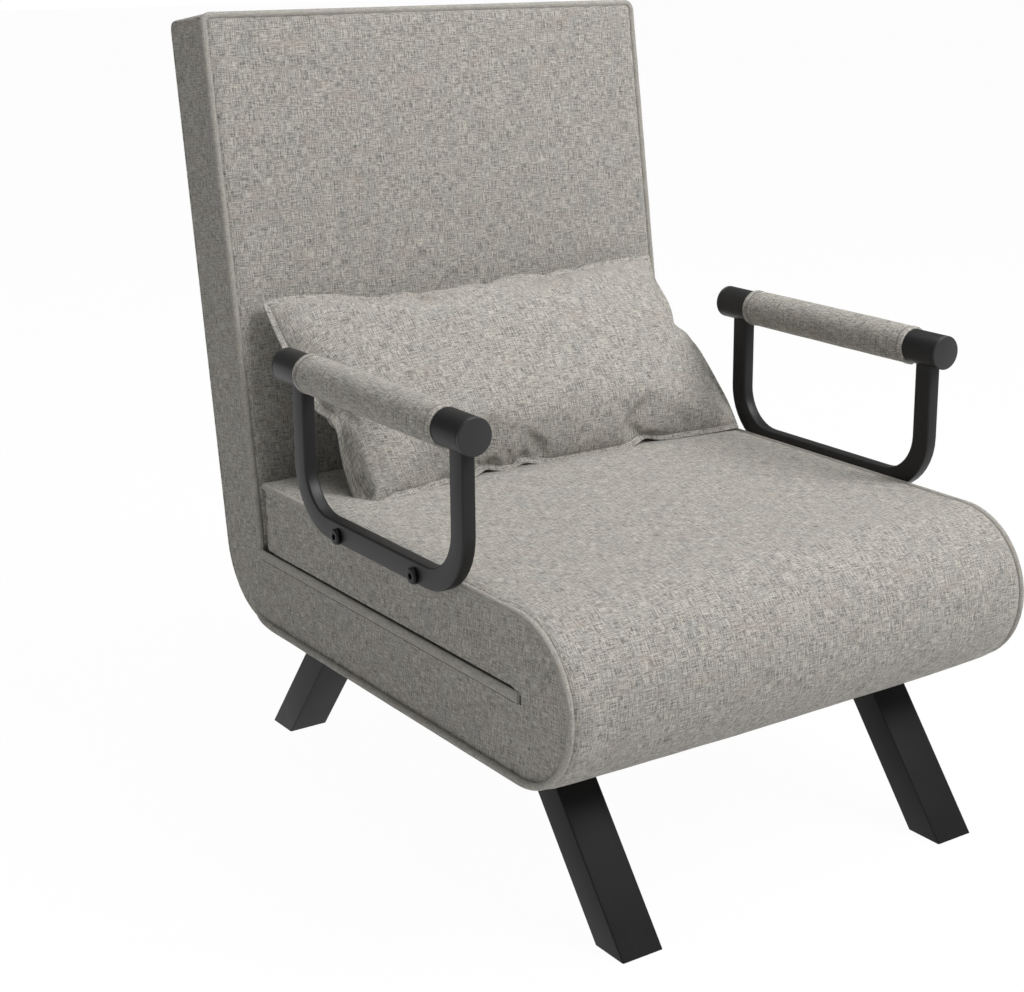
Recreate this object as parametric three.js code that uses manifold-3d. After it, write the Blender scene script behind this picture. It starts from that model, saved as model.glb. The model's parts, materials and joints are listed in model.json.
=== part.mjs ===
// Convertible chair bed. A mattress in three hinged sections, on a low steel base with four slanted
// legs, is a chair with two arms or a single bed. The back leans down in steps on two ratchet hinges
// and is then carried by a folding leg at its head. The seat section turns over to the front about
// two axes that a pair of links holds apart, so its arms come to stand on the floor as feet.
//
// Millimetres. X runs across the chair, the front faces -Y and Z is up, with the floor at zero.
// Side profiles are drawn in (u, z): u runs forward, so a point lies at y = -u, and u is zero where
// the front face of the back meets the bed level, the level of the slit between base and seat.

import * as THREE from 'three';
import { mergeVertices } from 'three/addons/utils/BufferGeometryUtils.js';
import Module from 'manifold-3d';

const wasm = await Module();
wasm.setup();

const rad = THREE.MathUtils.degToRad;

// Clearances
const SEAM = 0.35; // between two pieces that touch
const SLIT = 0.9; // between the base section and the seat section on it
const RUN = 0.4; // round a pin or shaft that turns
const CUT = 3; // overrun of a cut past the face that it opens

// Mattress
const WIDTH = 620;
const UNDERSIDE_Z = 178.6;
const BASE_THICK = 96.2;
const SEAT_THICK = 89.6;
const BACK_THICK = 99;
const BACK_LENGTH = 637.5;
const BACK_LEAN = rad(8.1);
const SEAT_DEPTH = 541.4; // rear edge to fold
const SEAT_REAR_GAP = 11.6; // seat section to the foot of the back
const EDGE_R = 8; // rounding along the side seams
const CORNER_R = 12; // rounding of the back's and the seat's ends
const MITRE_SWEEP = rad(12); // to each side of the mitre between base and back
const SIDE_BULGE = 2.6;
const SEAT_CROWN = 6;
const BACK_CROWN = 6;
const BED_Z = UNDERSIDE_Z + BASE_THICK;
const SEAT_TOP_Z = BED_Z + SEAT_THICK;
const FOLD_U = SEAT_REAR_GAP + SEAT_DEPTH;
const ROLL_R = (BASE_THICK + SEAT_THICK) / 2;
const ROLL_Z = UNDERSIDE_Z + ROLL_R;
const HALF = WIDTH / 2;

// Axes, each as far below one sleeping surface as below the other that it joins
const PIVOT_DROP = 68; // fold axes
const RECLINE_DROP = 66;
const FOLD_LOW_Z = BED_Z - PIVOT_DROP;
const FOLD_HIGH_Z = BED_Z + PIVOT_DROP;
const RECLINE_BACK = RECLINE_DROP * Math.tan((Math.PI / 2 - BACK_LEAN) / 2);
const RECLINE_Z = BED_Z - RECLINE_DROP;
const KNUCKLE_R = PIVOT_DROP - SLIT / 2; // foam that turns about a fold axis

// Frames of rectangular tube inside the mattress
const TUBE_W = 20;
const TUBE_WALL = 1.5;
const SIDE_WADDING = 22; // foam beside the frames
const FRAME_HALF = HALF - SIDE_WADDING; // to the outer face of the side tubes
const BASE_TUBE_H = 40;
const BASE_FRAME_RISE = 2.4; // above the underside
const BASE_FRAME_Z = UNDERSIDE_Z + BASE_FRAME_RISE;
const BASE_FRAME_REAR = -12;
const FRAME_FRONT_OVER = 10; // side tubes past the fold axes
const SEAT_TUBE_H = 30;
const SEAT_FRAME_COVER = 3.4; // wadding over the seat frame
const SEAT_FRAME_REAR = 32;
const BACK_TUBE_H = 25;
const BACK_FRAME_LOW = 42; // along the back from the bed level
const BACK_FRAME_TOP_GAP = 38;
const SLING_THICK = 2;
const PANEL_THICK = 1.6;
const PANEL_INSET = 0.5;

// Fold links and recline hinges, in slots beside the frames
const PIN_R = 5;
const PIN_HEAD_R = 8;
const PIN_HEAD = 3.2;
const PLATE_GAP = 2;
const LINK_THICK = 5;
const LINK_END_R = 12;
const LINK_NOSE_R = 14;
const LINK_NOSE = 56; // forward of the fold axes
const LINK_HOLE_R = 11;
const CROSSBAR_R = 10;
const HINGE_THICK = 4;
const HINGE_FIXED_R = 30;
const HINGE_MOVING_R = 25;
const HINGE_INSET = 2.5; // plates short of the corner's surface
const NOTCH_START = rad(34);
const HINGE_TAIL = 124;
const HINGE_TAIL_R = 12;
const HINGE_TUBE_R = 8;
const HINGE_CLEAR_R = 13.6;
const NOTCHES = 5;
const NOTCH_DEPTH = 5;
const SLOT_CLEAR = 1.4;

// Legs and rails of rectangular tube
const LEG_W = 51;
const LEG_D = 37.5;
const LEG_WALL = 2;
const LEG_CORNER_R = 3;
const LEG_SLANT = rad(38);
const LEG_INSET = 64.5; // a leg's middle from the side of the frames
const LEG_X = FRAME_HALF - LEG_INSET;
const FOOT_AHEAD = 68; // front feet ahead of the fold
const FRONT_FOOT_U = FOLD_U + FOOT_AHEAD;
const REAR_FOOT_U = -90;
const RAIL_H = 40.6;
const PLUG_H = 12;
const PLUG_PROUD = 0.6;
const RAIL_BOLT_R = 5;
const RAIL_BOLT_HEAD_R = 8;
const RAIL_BOLT_HEAD = 5;
const RAIL_BOLT_SPAN = 305;
const RAIL_BOLT_REAR_U = 117.6;
const RAIL_BOLT_GRIP = 14; // into the cross tube

// Arms
const ARM_R = 20;
const ARM_WALL = 3;
const ARM_LENGTH = 390;
const ARM_BEHIND = 245; // middle of the arm behind the fold
const ARM_MID_U = FOLD_U - ARM_BEHIND;
const ARM_TUBE_BACK = 4; // tube behind the middle of the bar
const BAR_D = 25;
const BAR_THICK = 16;
const BAR_SPAN = 354; // over both uprights
const BAR_CORNER_R = 74;
const BAR_EDGE_R = 2;
const BAR_DROP = 16.8; // bar's lower edge under the seat's top
const BAR_Z = SEAT_TOP_Z - BAR_DROP;
const BAR_GAP = 1; // bar to the side of the mattress
const BAR_IN = HALF + SIDE_BULGE + BAR_GAP;
const BAR_OUT = BAR_IN + BAR_THICK;
const ARM_INSET = 6.8; // the tube's axis from the bar's outer face, outside the middle of the bar
const ARM_X = BAR_OUT - ARM_INSET;
const ARM_BOLT_SPAN = 162;
const ARM_BOLT_RISE = 9; // above the bar's lower edge
const ARM_BOLT_R = 3.4;
const BOLT_HEAD_R = 7;
const BOLT_HEAD = 4.2;
const SOCKET_R = 2.9;
const SOCKET_DEPTH = 2.4;
const BOSS_R = 5.4;
const BOSS_GRIP = 10; // bolt past the boss into the tube
const SLEEVE_LENGTH = 285;
const SLEEVE_FORWARD = 1; // sleeve ahead of the middle of the tube
const SLEEVE_THICK = 1.8;
const HEM = 8;
const HEM_THICK = 0.5;
const SLEEVE_R = ARM_R + SEAM + SLEEVE_THICK + HEM_THICK;
const ARM_Z = 2 * BED_Z - SLEEVE_R; // turned over, the arm lies on the floor
const CAP = 4;
const CAP_EDGE_R = 1.6;
const CAP_PLUG = 12;

// Leg under the head end
const HEAD_LEG_R = 11;
const HEAD_LEG_X = 170;
const HEAD_LEG_DOWN = 202.5; // its axis from the back's top end
const HEAD_LEG_S = BACK_LENGTH - HEAD_LEG_DOWN; // along the back from the bed level
const HEAD_LEG_STANDOFF = 17;
const HEAD_LEG_OVER = 7; // tube past its pin
const HEAD_LEG_BEND = 42;
const HEAD_RING_THICK = 1.8;
const HEAD_RING_LENGTH = 34;
const HEAD_RING_X = 92;
const EAR_THICK = 3;
const EAR_R = 10;
const EAR_BASE_S = 46;
const EAR_HOLE_R = 4.3;
const EAR_PIN_R = 4;
const EAR_PIN_HEAD_R = 6.5;
const EAR_PIN_HEAD = 2.4;

// Pillow
const PILLOW_W = 588;
const PILLOW_H = 268;
const PILLOW_THICK = 118;
const PILLOW_TILT = rad(42.6); // from upright
const PILLOW_U = 58; // its middle
const PILLOW_RISE = 106.6; // its middle above the seat's top
const PILLOW_Z = SEAT_TOP_Z + PILLOW_RISE;
const PILLOW_OFF_MIDDLE = 5;
const PILLOW_FLANGE = 9;
const PILLOW_FLANGE_THICK = 3;
const PILLOW_DRAW_SHARE = 0.028; // of its width, drawn in at mid-height
const PILLOW_DIP_SHARE = 0.06; // of its height, drawn in at mid-width

// Facets
const ROUND = 24;
const SMALL_ROUND = 12;
const ARC_STEPS = 6;

const fabric = new THREE.MeshStandardMaterial({ color: 0xa8a49d, roughness: 0.92, metalness: 0 });
const lining = new THREE.MeshStandardMaterial({ color: 0x3b3b3b, roughness: 0.95, metalness: 0 });
const steel = new THREE.MeshStandardMaterial({ color: 0x2c2c2d, roughness: 0.5, metalness: 0.6 });
const bolt = new THREE.MeshStandardMaterial({ color: 0x161617, roughness: 0.4, metalness: 0.7 });
const plastic = new THREE.MeshStandardMaterial({ color: 0x333335, roughness: 0.55, metalness: 0 });
const rubber = new THREE.MeshStandardMaterial({ color: 0x1d1d1d, roughness: 0.85, metalness: 0 });

const chair = new THREE.Group();
const back = new THREE.Group(); // x, thickness rearwards as y, length along the back as z
back.position.set(0, 0, BED_Z);
back.rotation.x = -BACK_LEAN;
chair.add(back);

function addPiece(group, name, shape, material) {
  const mesh = new THREE.Mesh(shape.isBufferGeometry ? shape : toGeometry(shape), material);
  mesh.name = name;
  group.add(mesh);
  return mesh;
}

function toSolid(geometry) {
  const bare = geometry.clone();
  bare.deleteAttribute('normal');
  bare.deleteAttribute('uv');
  const merged = mergeVertices(bare);
  return new wasm.Manifold(new wasm.Mesh({
    numProp: 3,
    vertProperties: new Float32Array(merged.attributes.position.array),
    triVerts: new Uint32Array(merged.index.array),
  }));
}

function toGeometry(solid) {
  const mesh = solid.getMesh();
  const geometry = new THREE.BufferGeometry();
  const points = [];
  for (let i = 0; i < mesh.vertProperties.length; i += mesh.numProp) {
    points.push(mesh.vertProperties[i], mesh.vertProperties[i + 1], mesh.vertProperties[i + 2]);
  }
  geometry.setAttribute('position', new THREE.Float32BufferAttribute(points, 3));
  geometry.setIndex([...mesh.triVerts]);
  geometry.computeVertexNormals();
  return geometry;
}

const joined = (solids) => solids.reduce((all, one) => all.add(one));
const without = (solid, cuts) => cuts.reduce((rest, cut) => rest.subtract(cut), solid);

// A box between two places along x, u and z
function block(x0, x1, u0, u1, z0, z1) {
  const box = new THREE.BoxGeometry(x1 - x0, u1 - u0, z1 - z0);
  return toSolid(box.translate((x0 + x1) / 2, -(u0 + u1) / 2, (z0 + z1) / 2));
}

// The same box on both sides of the middle plane
const pairOf = (x0, x1, ...rest) => [block(x0, x1, ...rest), block(-x1, -x0, ...rest)];

// A round bar across the chair, from x0 to x1
function crossRound(radius, x0, x1, u, z, sides = SMALL_ROUND) {
  const bar = new THREE.CylinderGeometry(radius, radius, x1 - x0, sides);
  return toSolid(bar.rotateZ(Math.PI / 2).translate((x0 + x1) / 2, -u, z));
}

// A side profile drawn in (u, z), as thick as x0 to x1
function profileGeometry(shape, x0, x1, options = {}) {
  const plate = new THREE.ExtrudeGeometry(shape, {
    depth: x1 - x0, bevelEnabled: false, curveSegments: ARC_STEPS, ...options,
  });
  const turn = new THREE.Matrix4().makeBasis(
    new THREE.Vector3(0, -1, 0), new THREE.Vector3(0, 0, 1), new THREE.Vector3(-1, 0, 0),
  ).setPosition(x1, 0, 0);
  return plate.applyMatrix4(turn);
}

const profile = (shape, x0, x1, options) => toSolid(profileGeometry(shape, x0, x1, options));

// A turned piece: a closed profile of [radius, along] points, revolved, with its axis along +X
function turned(points, sides = ROUND) {
  const lathe = new THREE.LatheGeometry(points.map(([r, a]) => new THREE.Vector2(r, a)), sides);
  return lathe.rotateZ(-Math.PI / 2);
}

const along = (from, to, steps) => Array.from({ length: steps }, (_, i) => ({
  u: from[0] + (to[0] - from[0]) * i / steps, z: from[1] + (to[1] - from[1]) * i / steps,
}));

const arc = (centre, radius, from, to, steps) => Array.from({ length: steps }, (_, i) => {
  const turn = from + (to - from) * i / steps;
  return { u: centre[0] + radius * Math.cos(turn), z: centre[1] + radius * Math.sin(turn) };
});

// The face of a cushion without a crown
const flat = () => 0;

// A cushion: an outline in (u, z), counter-clockwise, carried across the width. The side seams are
// rounded and drawn in, the side panels bulge, and the faces swell by `crown(point, across)`.
const crownShares = [-0.8, -0.5, -0.2, 0.2, 0.5, 0.8];
const edgeShares = [0, 0.55, 1];
const panelShares = [0.72];

function cushion(outline, hub, crown, half = HALF) {
  const count = outline.length;
  const normals = outline.map((point, i) => {
    const before = outline[(i + count - 1) % count];
    const after = outline[(i + 1) % count];
    return new THREE.Vector2(after.z - before.z, before.u - after.u).normalize();
  });
  const edge = (side) => edgeShares.map((share) => ({
    x: side * (half - EDGE_R + EDGE_R * Math.sin(share * Math.PI / 2)),
    inset: EDGE_R * (1 - Math.cos(share * Math.PI / 2)),
  }));
  const middle = (crown === flat ? [] : crownShares).map((share) => ({ x: share * (half - EDGE_R), inset: 0 }));
  const stations = [...edge(-1).reverse(), ...middle, ...edge(1)];
  const points = [];
  for (const { x, inset } of stations) {
    outline.forEach((point, i) => {
      const out = crown(point, x / half) - inset;
      points.push(x, -(point.u + normals[i].x * out), point.z + normals[i].y * out);
    });
  }
  const faces = [];
  const quad = (a, b, c, d) => faces.push(a, c, b, a, d, c);
  for (let s = 0; s + 1 < stations.length; s += 1) {
    for (let i = 0; i < count; i += 1) {
      const next = (i + 1) % count;
      quad(s * count + i, s * count + next, (s + 1) * count + next, (s + 1) * count + i);
    }
  }
  for (const side of [-1, 1]) {
    const rim = side < 0 ? 0 : (stations.length - 1) * count;
    let outer = rim;
    for (const share of panelShares) {
      const start = points.length / 3;
      for (let i = 0; i < count; i += 1) {
        const y = points[3 * (rim + i) + 1];
        const z = points[3 * (rim + i) + 2];
        points.push(
          side * (half + SIDE_BULGE * (1 - share * share)),
          -hub[0] + (y + hub[0]) * share, hub[1] + (z - hub[1]) * share,
        );
      }
      for (let i = 0; i < count; i += 1) {
        const next = (i + 1) % count;
        if (side < 0) quad(outer + i, start + i, start + next, outer + next);
        else quad(outer + i, outer + next, start + next, start + i);
      }
      outer = start;
    }
    const tip = points.length / 3;
    points.push(side * (half + SIDE_BULGE), -hub[0], hub[1]);
    for (let i = 0; i < count; i += 1) {
      const next = (i + 1) % count;
      if (side < 0) faces.push(outer + i, outer + next, tip);
      else faces.push(outer + i, tip, outer + next);
    }
  }
  const geometry = new THREE.BufferGeometry();
  geometry.setAttribute('position', new THREE.Float32BufferAttribute(points, 3));
  geometry.setIndex(faces);
  return toSolid(geometry);
}

// Where the circle of the roll meets the knuckle about a fold axis, as a height off that axis
function meeting(axisZ) {
  const apart = ROLL_Z - axisZ;
  const height = (KNUCKLE_R ** 2 - ROLL_R ** 2 + apart ** 2) / (2 * apart);
  return { height, reach: Math.sqrt(KNUCKLE_R ** 2 - height ** 2) };
}

const low = meeting(FOLD_LOW_Z);
const high = meeting(FOLD_HIGH_Z);
const rollAngle = (axisZ, height) => Math.asin((axisZ + height - ROLL_Z) / ROLL_R);

// Swell of the seat's top: full in its middle, gone at the slit and along the side seams
const seatCrown = (point, across) => {
  const rise = THREE.MathUtils.clamp((point.z - BED_Z) / SEAT_THICK, 0, 1);
  const deep = (2 * point.u - FOLD_U) / (FOLD_U + ROLL_R);
  return SEAT_CROWN * rise * rise * Math.max(0, 1 - deep * deep) * (1 - across * across);
};

// Base section: slab, rounded rear corner about the foot of the back, knuckle about the lower axis
const mitre = -Math.PI / 2 - (Math.PI / 2 - BACK_LEAN) / 2;
const baseTop = BED_Z - SLIT / 2;
const baseOutline = [
  { u: 0, z: baseTop },
  ...arc([0, BED_Z], BASE_THICK, mitre - MITRE_SWEEP, -Math.PI / 2, ARC_STEPS),
  ...along([0, UNDERSIDE_Z], [FOLD_U, UNDERSIDE_Z], 2),
  ...arc([FOLD_U, ROLL_Z], ROLL_R, -Math.PI / 2, rollAngle(FOLD_LOW_Z, low.height), ARC_STEPS),
  ...arc([FOLD_U, FOLD_LOW_Z], KNUCKLE_R, Math.atan2(low.height, low.reach), Math.PI / 2, ARC_STEPS),
  ...along([FOLD_U, baseTop], [0, baseTop], 2),
];
const baseHub = [FOLD_U / 2, (BED_Z + UNDERSIDE_Z) / 2];

// Seat section: slab on the slit, knuckle about the upper axis, rounded rear end
const seatBottom = BED_Z + SLIT / 2;
const seatRear = SEAT_REAR_GAP;
const seatOutline = [
  ...along([seatRear + EDGE_R / 2, seatBottom], [FOLD_U, seatBottom], 2),
  ...arc([FOLD_U, FOLD_HIGH_Z], KNUCKLE_R, -Math.PI / 2, Math.atan2(high.height, high.reach), ARC_STEPS),
  ...arc([FOLD_U, ROLL_Z], ROLL_R, rollAngle(FOLD_HIGH_Z, high.height), Math.PI / 2, ARC_STEPS),
  ...along([FOLD_U, SEAT_TOP_Z], [seatRear + CORNER_R, SEAT_TOP_Z], ARC_STEPS + 2),
  ...arc([seatRear + CORNER_R, SEAT_TOP_Z - CORNER_R], CORNER_R, Math.PI / 2, Math.PI, 3),
  ...along([seatRear, SEAT_TOP_Z - CORNER_R], [seatRear, seatBottom + EDGE_R / 2], 2),
];
const seatHub = [FOLD_U / 2, (BED_Z + SEAT_TOP_Z) / 2];

// Front roll: what the bend takes up between the two knuckles, carried by the links
const cuspHeight = (u) => Math.sqrt((KNUCKLE_R + SLIT) ** 2 - (u - FOLD_U) ** 2);
const cuspU = FOLD_U + LINK_NOSE - 2 * CROSSBAR_R;
const gapR = KNUCKLE_R + SLIT;
const lowTip = rollAngle(FOLD_LOW_Z, low.height) + SLIT / ROLL_R;
const highTip = rollAngle(FOLD_HIGH_Z, high.height) - SLIT / ROLL_R;
const lowEnd = Math.atan2(ROLL_Z + ROLL_R * Math.sin(lowTip) - FOLD_LOW_Z, ROLL_R * Math.cos(lowTip));
const highEnd = Math.atan2(ROLL_Z + ROLL_R * Math.sin(highTip) - FOLD_HIGH_Z, ROLL_R * Math.cos(highTip));
const cuspTurn = Math.acos((cuspU - FOLD_U) / gapR);
const rollOutline = [
  ...along([cuspU, FOLD_HIGH_Z - cuspHeight(cuspU)], [cuspU, FOLD_LOW_Z + cuspHeight(cuspU)], 2),
  ...arc([FOLD_U, FOLD_LOW_Z], gapR, cuspTurn, lowEnd, ARC_STEPS - 2),
  ...arc([FOLD_U, ROLL_Z], ROLL_R, lowTip, highTip, 2 * ARC_STEPS),
  ...arc([FOLD_U, FOLD_HIGH_Z], gapR, highEnd, -cuspTurn, ARC_STEPS - 2),
];
const rollHub = [FOLD_U + (ROLL_R + PIVOT_DROP) / 2, BED_Z];

// Back section, drawn upright: u = 0 is its front face and z counts along it from the bed level
const backArcR = (turn) => BASE_THICK + (BACK_THICK - BASE_THICK)
  * THREE.MathUtils.clamp((turn - mitre) / (-Math.PI / 2 - BACK_LEAN - mitre), 0, 1);
const backCorner = Array.from({ length: ARC_STEPS }, (_, i) => {
  const turn = -Math.PI + (mitre + BACK_LEAN + MITRE_SWEEP + Math.PI) * i / (ARC_STEPS - 1);
  return { u: backArcR(turn - BACK_LEAN) * Math.cos(turn), z: backArcR(turn - BACK_LEAN) * Math.sin(turn) };
});
const backOutline = [
  ...along([0, 0], [0, BACK_LENGTH - CORNER_R], ARC_STEPS + 2),
  ...arc([-CORNER_R, BACK_LENGTH - CORNER_R], CORNER_R, 0, Math.PI / 2, 3),
  ...along([-CORNER_R, BACK_LENGTH], [CORNER_R - BACK_THICK, BACK_LENGTH], 2),
  ...arc([CORNER_R - BACK_THICK, BACK_LENGTH - CORNER_R], CORNER_R, Math.PI / 2, Math.PI, 3),
  ...along([-BACK_THICK, BACK_LENGTH - CORNER_R], [-BACK_THICK, 0], 2),
  ...backCorner,
];
const backHub = [-BACK_THICK / 2, BACK_LENGTH / 2];
const backCrown = (point, across) => {
  const face = THREE.MathUtils.clamp(1 + 3 * point.u / BACK_THICK, 0, 1);
  const up = THREE.MathUtils.clamp(2 * point.z / BACK_LENGTH - 1, -1, 1);
  return BACK_CROWN * face * face * (1 - up ** 4) * (1 - across * across);
};

// Slots beside the frames
const slotIn = FRAME_HALF + SEAM;
const linkIn = FRAME_HALF + PLATE_GAP;
const linkOut = linkIn + LINK_THICK;
const slotOut = linkOut + PLATE_GAP / 2;
const headOut = linkOut + SEAM + PIN_HEAD;
const frontEnd = FOLD_U + FRAME_FRONT_OVER;
const linkSlots = (z0, z1) => pairOf(slotIn, slotOut, FOLD_U - LINK_END_R - SLOT_CLEAR,
  FOLD_U + ROLL_R + CUT, z0, z1);
const across = (sign, a, b) => (sign < 0 ? [-b, -a] : [a, b]);
const sideIn = FRAME_HALF - TUBE_W;
const headRecess = (z) => [-1, 1].flatMap((sign) => [
  crossRound(PIN_HEAD_R + RUN, ...across(sign, linkIn, headOut + SEAM), FOLD_U, z),
  crossRound(PIN_HEAD_R + RUN, ...across(sign, sideIn - PIN_HEAD - 2 * SEAM, sideIn), FOLD_U, z),
]);

// Base frame
const baseFrameTop = BASE_FRAME_Z + BASE_TUBE_H;
const crossUs = [BASE_FRAME_REAR + TUBE_W / 2, FOLD_U - LINK_END_R - TUBE_W];
const railBoltUs = [RAIL_BOLT_REAR_U, RAIL_BOLT_REAR_U + RAIL_BOLT_SPAN];

// Tubes given by their centre line place, joined, then hollowed so that every channel opens at the ends
function tubeFrame(sides, crosses) {
  const outer = [];
  const inner = [];
  for (const { rear, front, z0, z1 } of sides) {
    outer.push(...pairOf(sideIn, FRAME_HALF, rear, front, z0, z1));
    inner.push(...pairOf(sideIn + TUBE_WALL, FRAME_HALF - TUBE_WALL, rear - CUT, front + CUT,
      z0 + TUBE_WALL, z1 - TUBE_WALL));
  }
  const reach = sideIn + TUBE_WALL + CUT;
  for (const { u, wide, z0, z1 } of crosses) {
    outer.push(block(-sideIn - TUBE_WALL / 2, sideIn + TUBE_WALL / 2, u - wide / 2, u + wide / 2, z0, z1));
    inner.push(block(-reach, reach, u - wide / 2 + TUBE_WALL, u + wide / 2 - TUBE_WALL,
      z0 + TUBE_WALL, z1 - TUBE_WALL));
  }
  return joined(outer).subtract(joined(inner));
}

const pinHole = (z, radius = PIN_R + RUN) => crossRound(radius, -FRAME_HALF - CUT, FRAME_HALF + CUT, FOLD_U, z);
const railBoltHoles = (z0, z1) => railBoltUs.flatMap((u) => [-LEG_X, LEG_X].map((x) => {
  const hole = new THREE.CylinderGeometry(RAIL_BOLT_R + RUN, RAIL_BOLT_R + RUN, z1 - z0, SMALL_ROUND);
  return toSolid(hole.rotateX(Math.PI / 2).translate(x, -u, (z0 + z1) / 2));
}));

addPiece(chair, 'base_frame', without(tubeFrame(
  [{ rear: BASE_FRAME_REAR, front: frontEnd, z0: BASE_FRAME_Z, z1: baseFrameTop }],
  [
    ...crossUs.map((u) => ({ u, wide: TUBE_W, z0: BASE_FRAME_Z, z1: baseFrameTop })),
    ...railBoltUs.map((u) => ({ u, wide: BACK_TUBE_H, z0: BASE_FRAME_Z, z1: BASE_FRAME_Z + BACK_TUBE_H })),
  ],
), [pinHole(FOLD_LOW_Z), ...railBoltHoles(BASE_FRAME_Z - CUT, BASE_FRAME_Z + CUT)]), steel);

const slingOf = (rear, front, z) => block(-FRAME_HALF + TUBE_WALL, FRAME_HALF - TUBE_WALL,
  rear, front, z, z + SLING_THICK);
const baseSlingZ = baseFrameTop + SEAM;
addPiece(chair, 'base_sling', slingOf(BASE_FRAME_REAR, frontEnd - CUT, baseSlingZ), lining);

const pocketTop = baseSlingZ + SLING_THICK + SEAM;
const hingeReachZ = RECLINE_Z + HINGE_FIXED_R;
const reclineClear = crossRound(HINGE_CLEAR_R, -HALF - CUT - SIDE_BULGE, HALF + CUT + SIDE_BULGE,
  -RECLINE_BACK, RECLINE_Z, ROUND);
const hingeSlotOut = slotIn + 2 * (HINGE_THICK + SEAM) + PLATE_GAP;
const hingeSlots = [-1, 1].map((sign) => crossRound(HINGE_FIXED_R + SLOT_CLEAR,
  ...across(sign, slotIn, hingeSlotOut), -RECLINE_BACK, RECLINE_Z, ROUND));

// The mitre plane through the foot of the back and the recline axis, as a thin wedge-shaped cut:
// one long box on the far side of it, turned about the foot of the back
function behindMitre(offset) {
  const size = 4 * BACK_THICK;
  const box = new THREE.BoxGeometry(WIDTH + 2 * (SIDE_BULGE + CUT), size, 2 * size);
  box.translate(0, size / 2 + offset, 0);
  return toSolid(box.rotateX(-Math.PI / 2 - mitre).translate(0, 0, BED_Z));
}
const baseRaw = cushion(baseOutline, baseHub, flat);
addPiece(chair, 'base_cushion', without(baseRaw, [
  behindMitre(-SEAM),
  reclineClear,
  ...hingeSlots,
  ...pairOf(slotIn - CUT, hingeSlotOut, -RECLINE_BACK, HINGE_TAIL - RECLINE_BACK + HINGE_TAIL_R + SLOT_CLEAR,
    RECLINE_Z - HINGE_TAIL_R - SLOT_CLEAR, RECLINE_Z + HINGE_TAIL_R + SLOT_CLEAR),
  block(-slotIn, slotIn, BASE_FRAME_REAR - SEAM, frontEnd + SEAM, UNDERSIDE_Z - CUT, pocketTop),
  ...linkSlots(UNDERSIDE_Z - CUT, BED_Z + CUT),
  ...headRecess(FOLD_LOW_Z),
]), fabric);

const coverRear = BASE_FRAME_REAR + CUT;
addPiece(chair, 'base_dust_cover', without(block(-FRAME_HALF, FRAME_HALF, coverRear, frontEnd - CUT,
  UNDERSIDE_Z + PANEL_INSET, UNDERSIDE_Z + PANEL_INSET + PANEL_THICK),
railBoltHoles(UNDERSIDE_Z - CUT, UNDERSIDE_Z + CUT)), lining);

// Legs: rectangular tube on the slant, cut level at the floor and under the mattress
function roundedRect(width, depth, radius) {
  const w = width / 2;
  const d = depth / 2;
  const shape = new THREE.Shape();
  shape.moveTo(-w + radius, -d);
  shape.lineTo(w - radius, -d);
  shape.absarc(w - radius, -d + radius, radius, -Math.PI / 2, 0);
  shape.lineTo(w, d - radius);
  shape.absarc(w - radius, d - radius, radius, 0, Math.PI / 2);
  shape.lineTo(-w + radius, d);
  shape.absarc(-w + radius, d - radius, radius, Math.PI / 2, Math.PI);
  shape.lineTo(-w, -d + radius);
  shape.absarc(-w + radius, -d + radius, radius, Math.PI, 1.5 * Math.PI);
  return shape;
}

function slantedBar(inset, footU, lean, x) {
  const shape = roundedRect(LEG_W - 2 * inset, LEG_D - 2 * inset, Math.max(LEG_CORNER_R - inset, SEAM));
  const length = 2 * UNDERSIDE_Z / Math.cos(LEG_SLANT);
  const bar = new THREE.ExtrudeGeometry(shape, { depth: length, bevelEnabled: false, curveSegments: 2 });
  bar.translate(0, 0, -length / 4).rotateX(lean);
  return toSolid(bar.translate(x, -footU, 0));
}

const level = (z0, z1) => block(-WIDTH, WIDTH, -2 * FOLD_U, 2 * FOLD_U, z0, z1);
const legTop = UNDERSIDE_Z - SEAM;
for (const [end, footU, lean] of [['front', FRONT_FOOT_U, -LEG_SLANT], ['rear', REAR_FOOT_U, LEG_SLANT]]) {
  for (const [side, x] of [['left', -LEG_X], ['right', LEG_X]]) {
    const tube = slantedBar(0, footU, lean, x).subtract(slantedBar(LEG_WALL, footU, lean, x));
    addPiece(chair, `leg_${end}_${side}`, tube.intersect(level(PLUG_PROUD, legTop)), steel);
    const plug = slantedBar(LEG_WALL + SEAM, footU, lean, x).intersect(level(0, PLUG_H));
    addPiece(chair, `foot_plug_${end}_${side}`, plug, plastic);
  }
}

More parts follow.
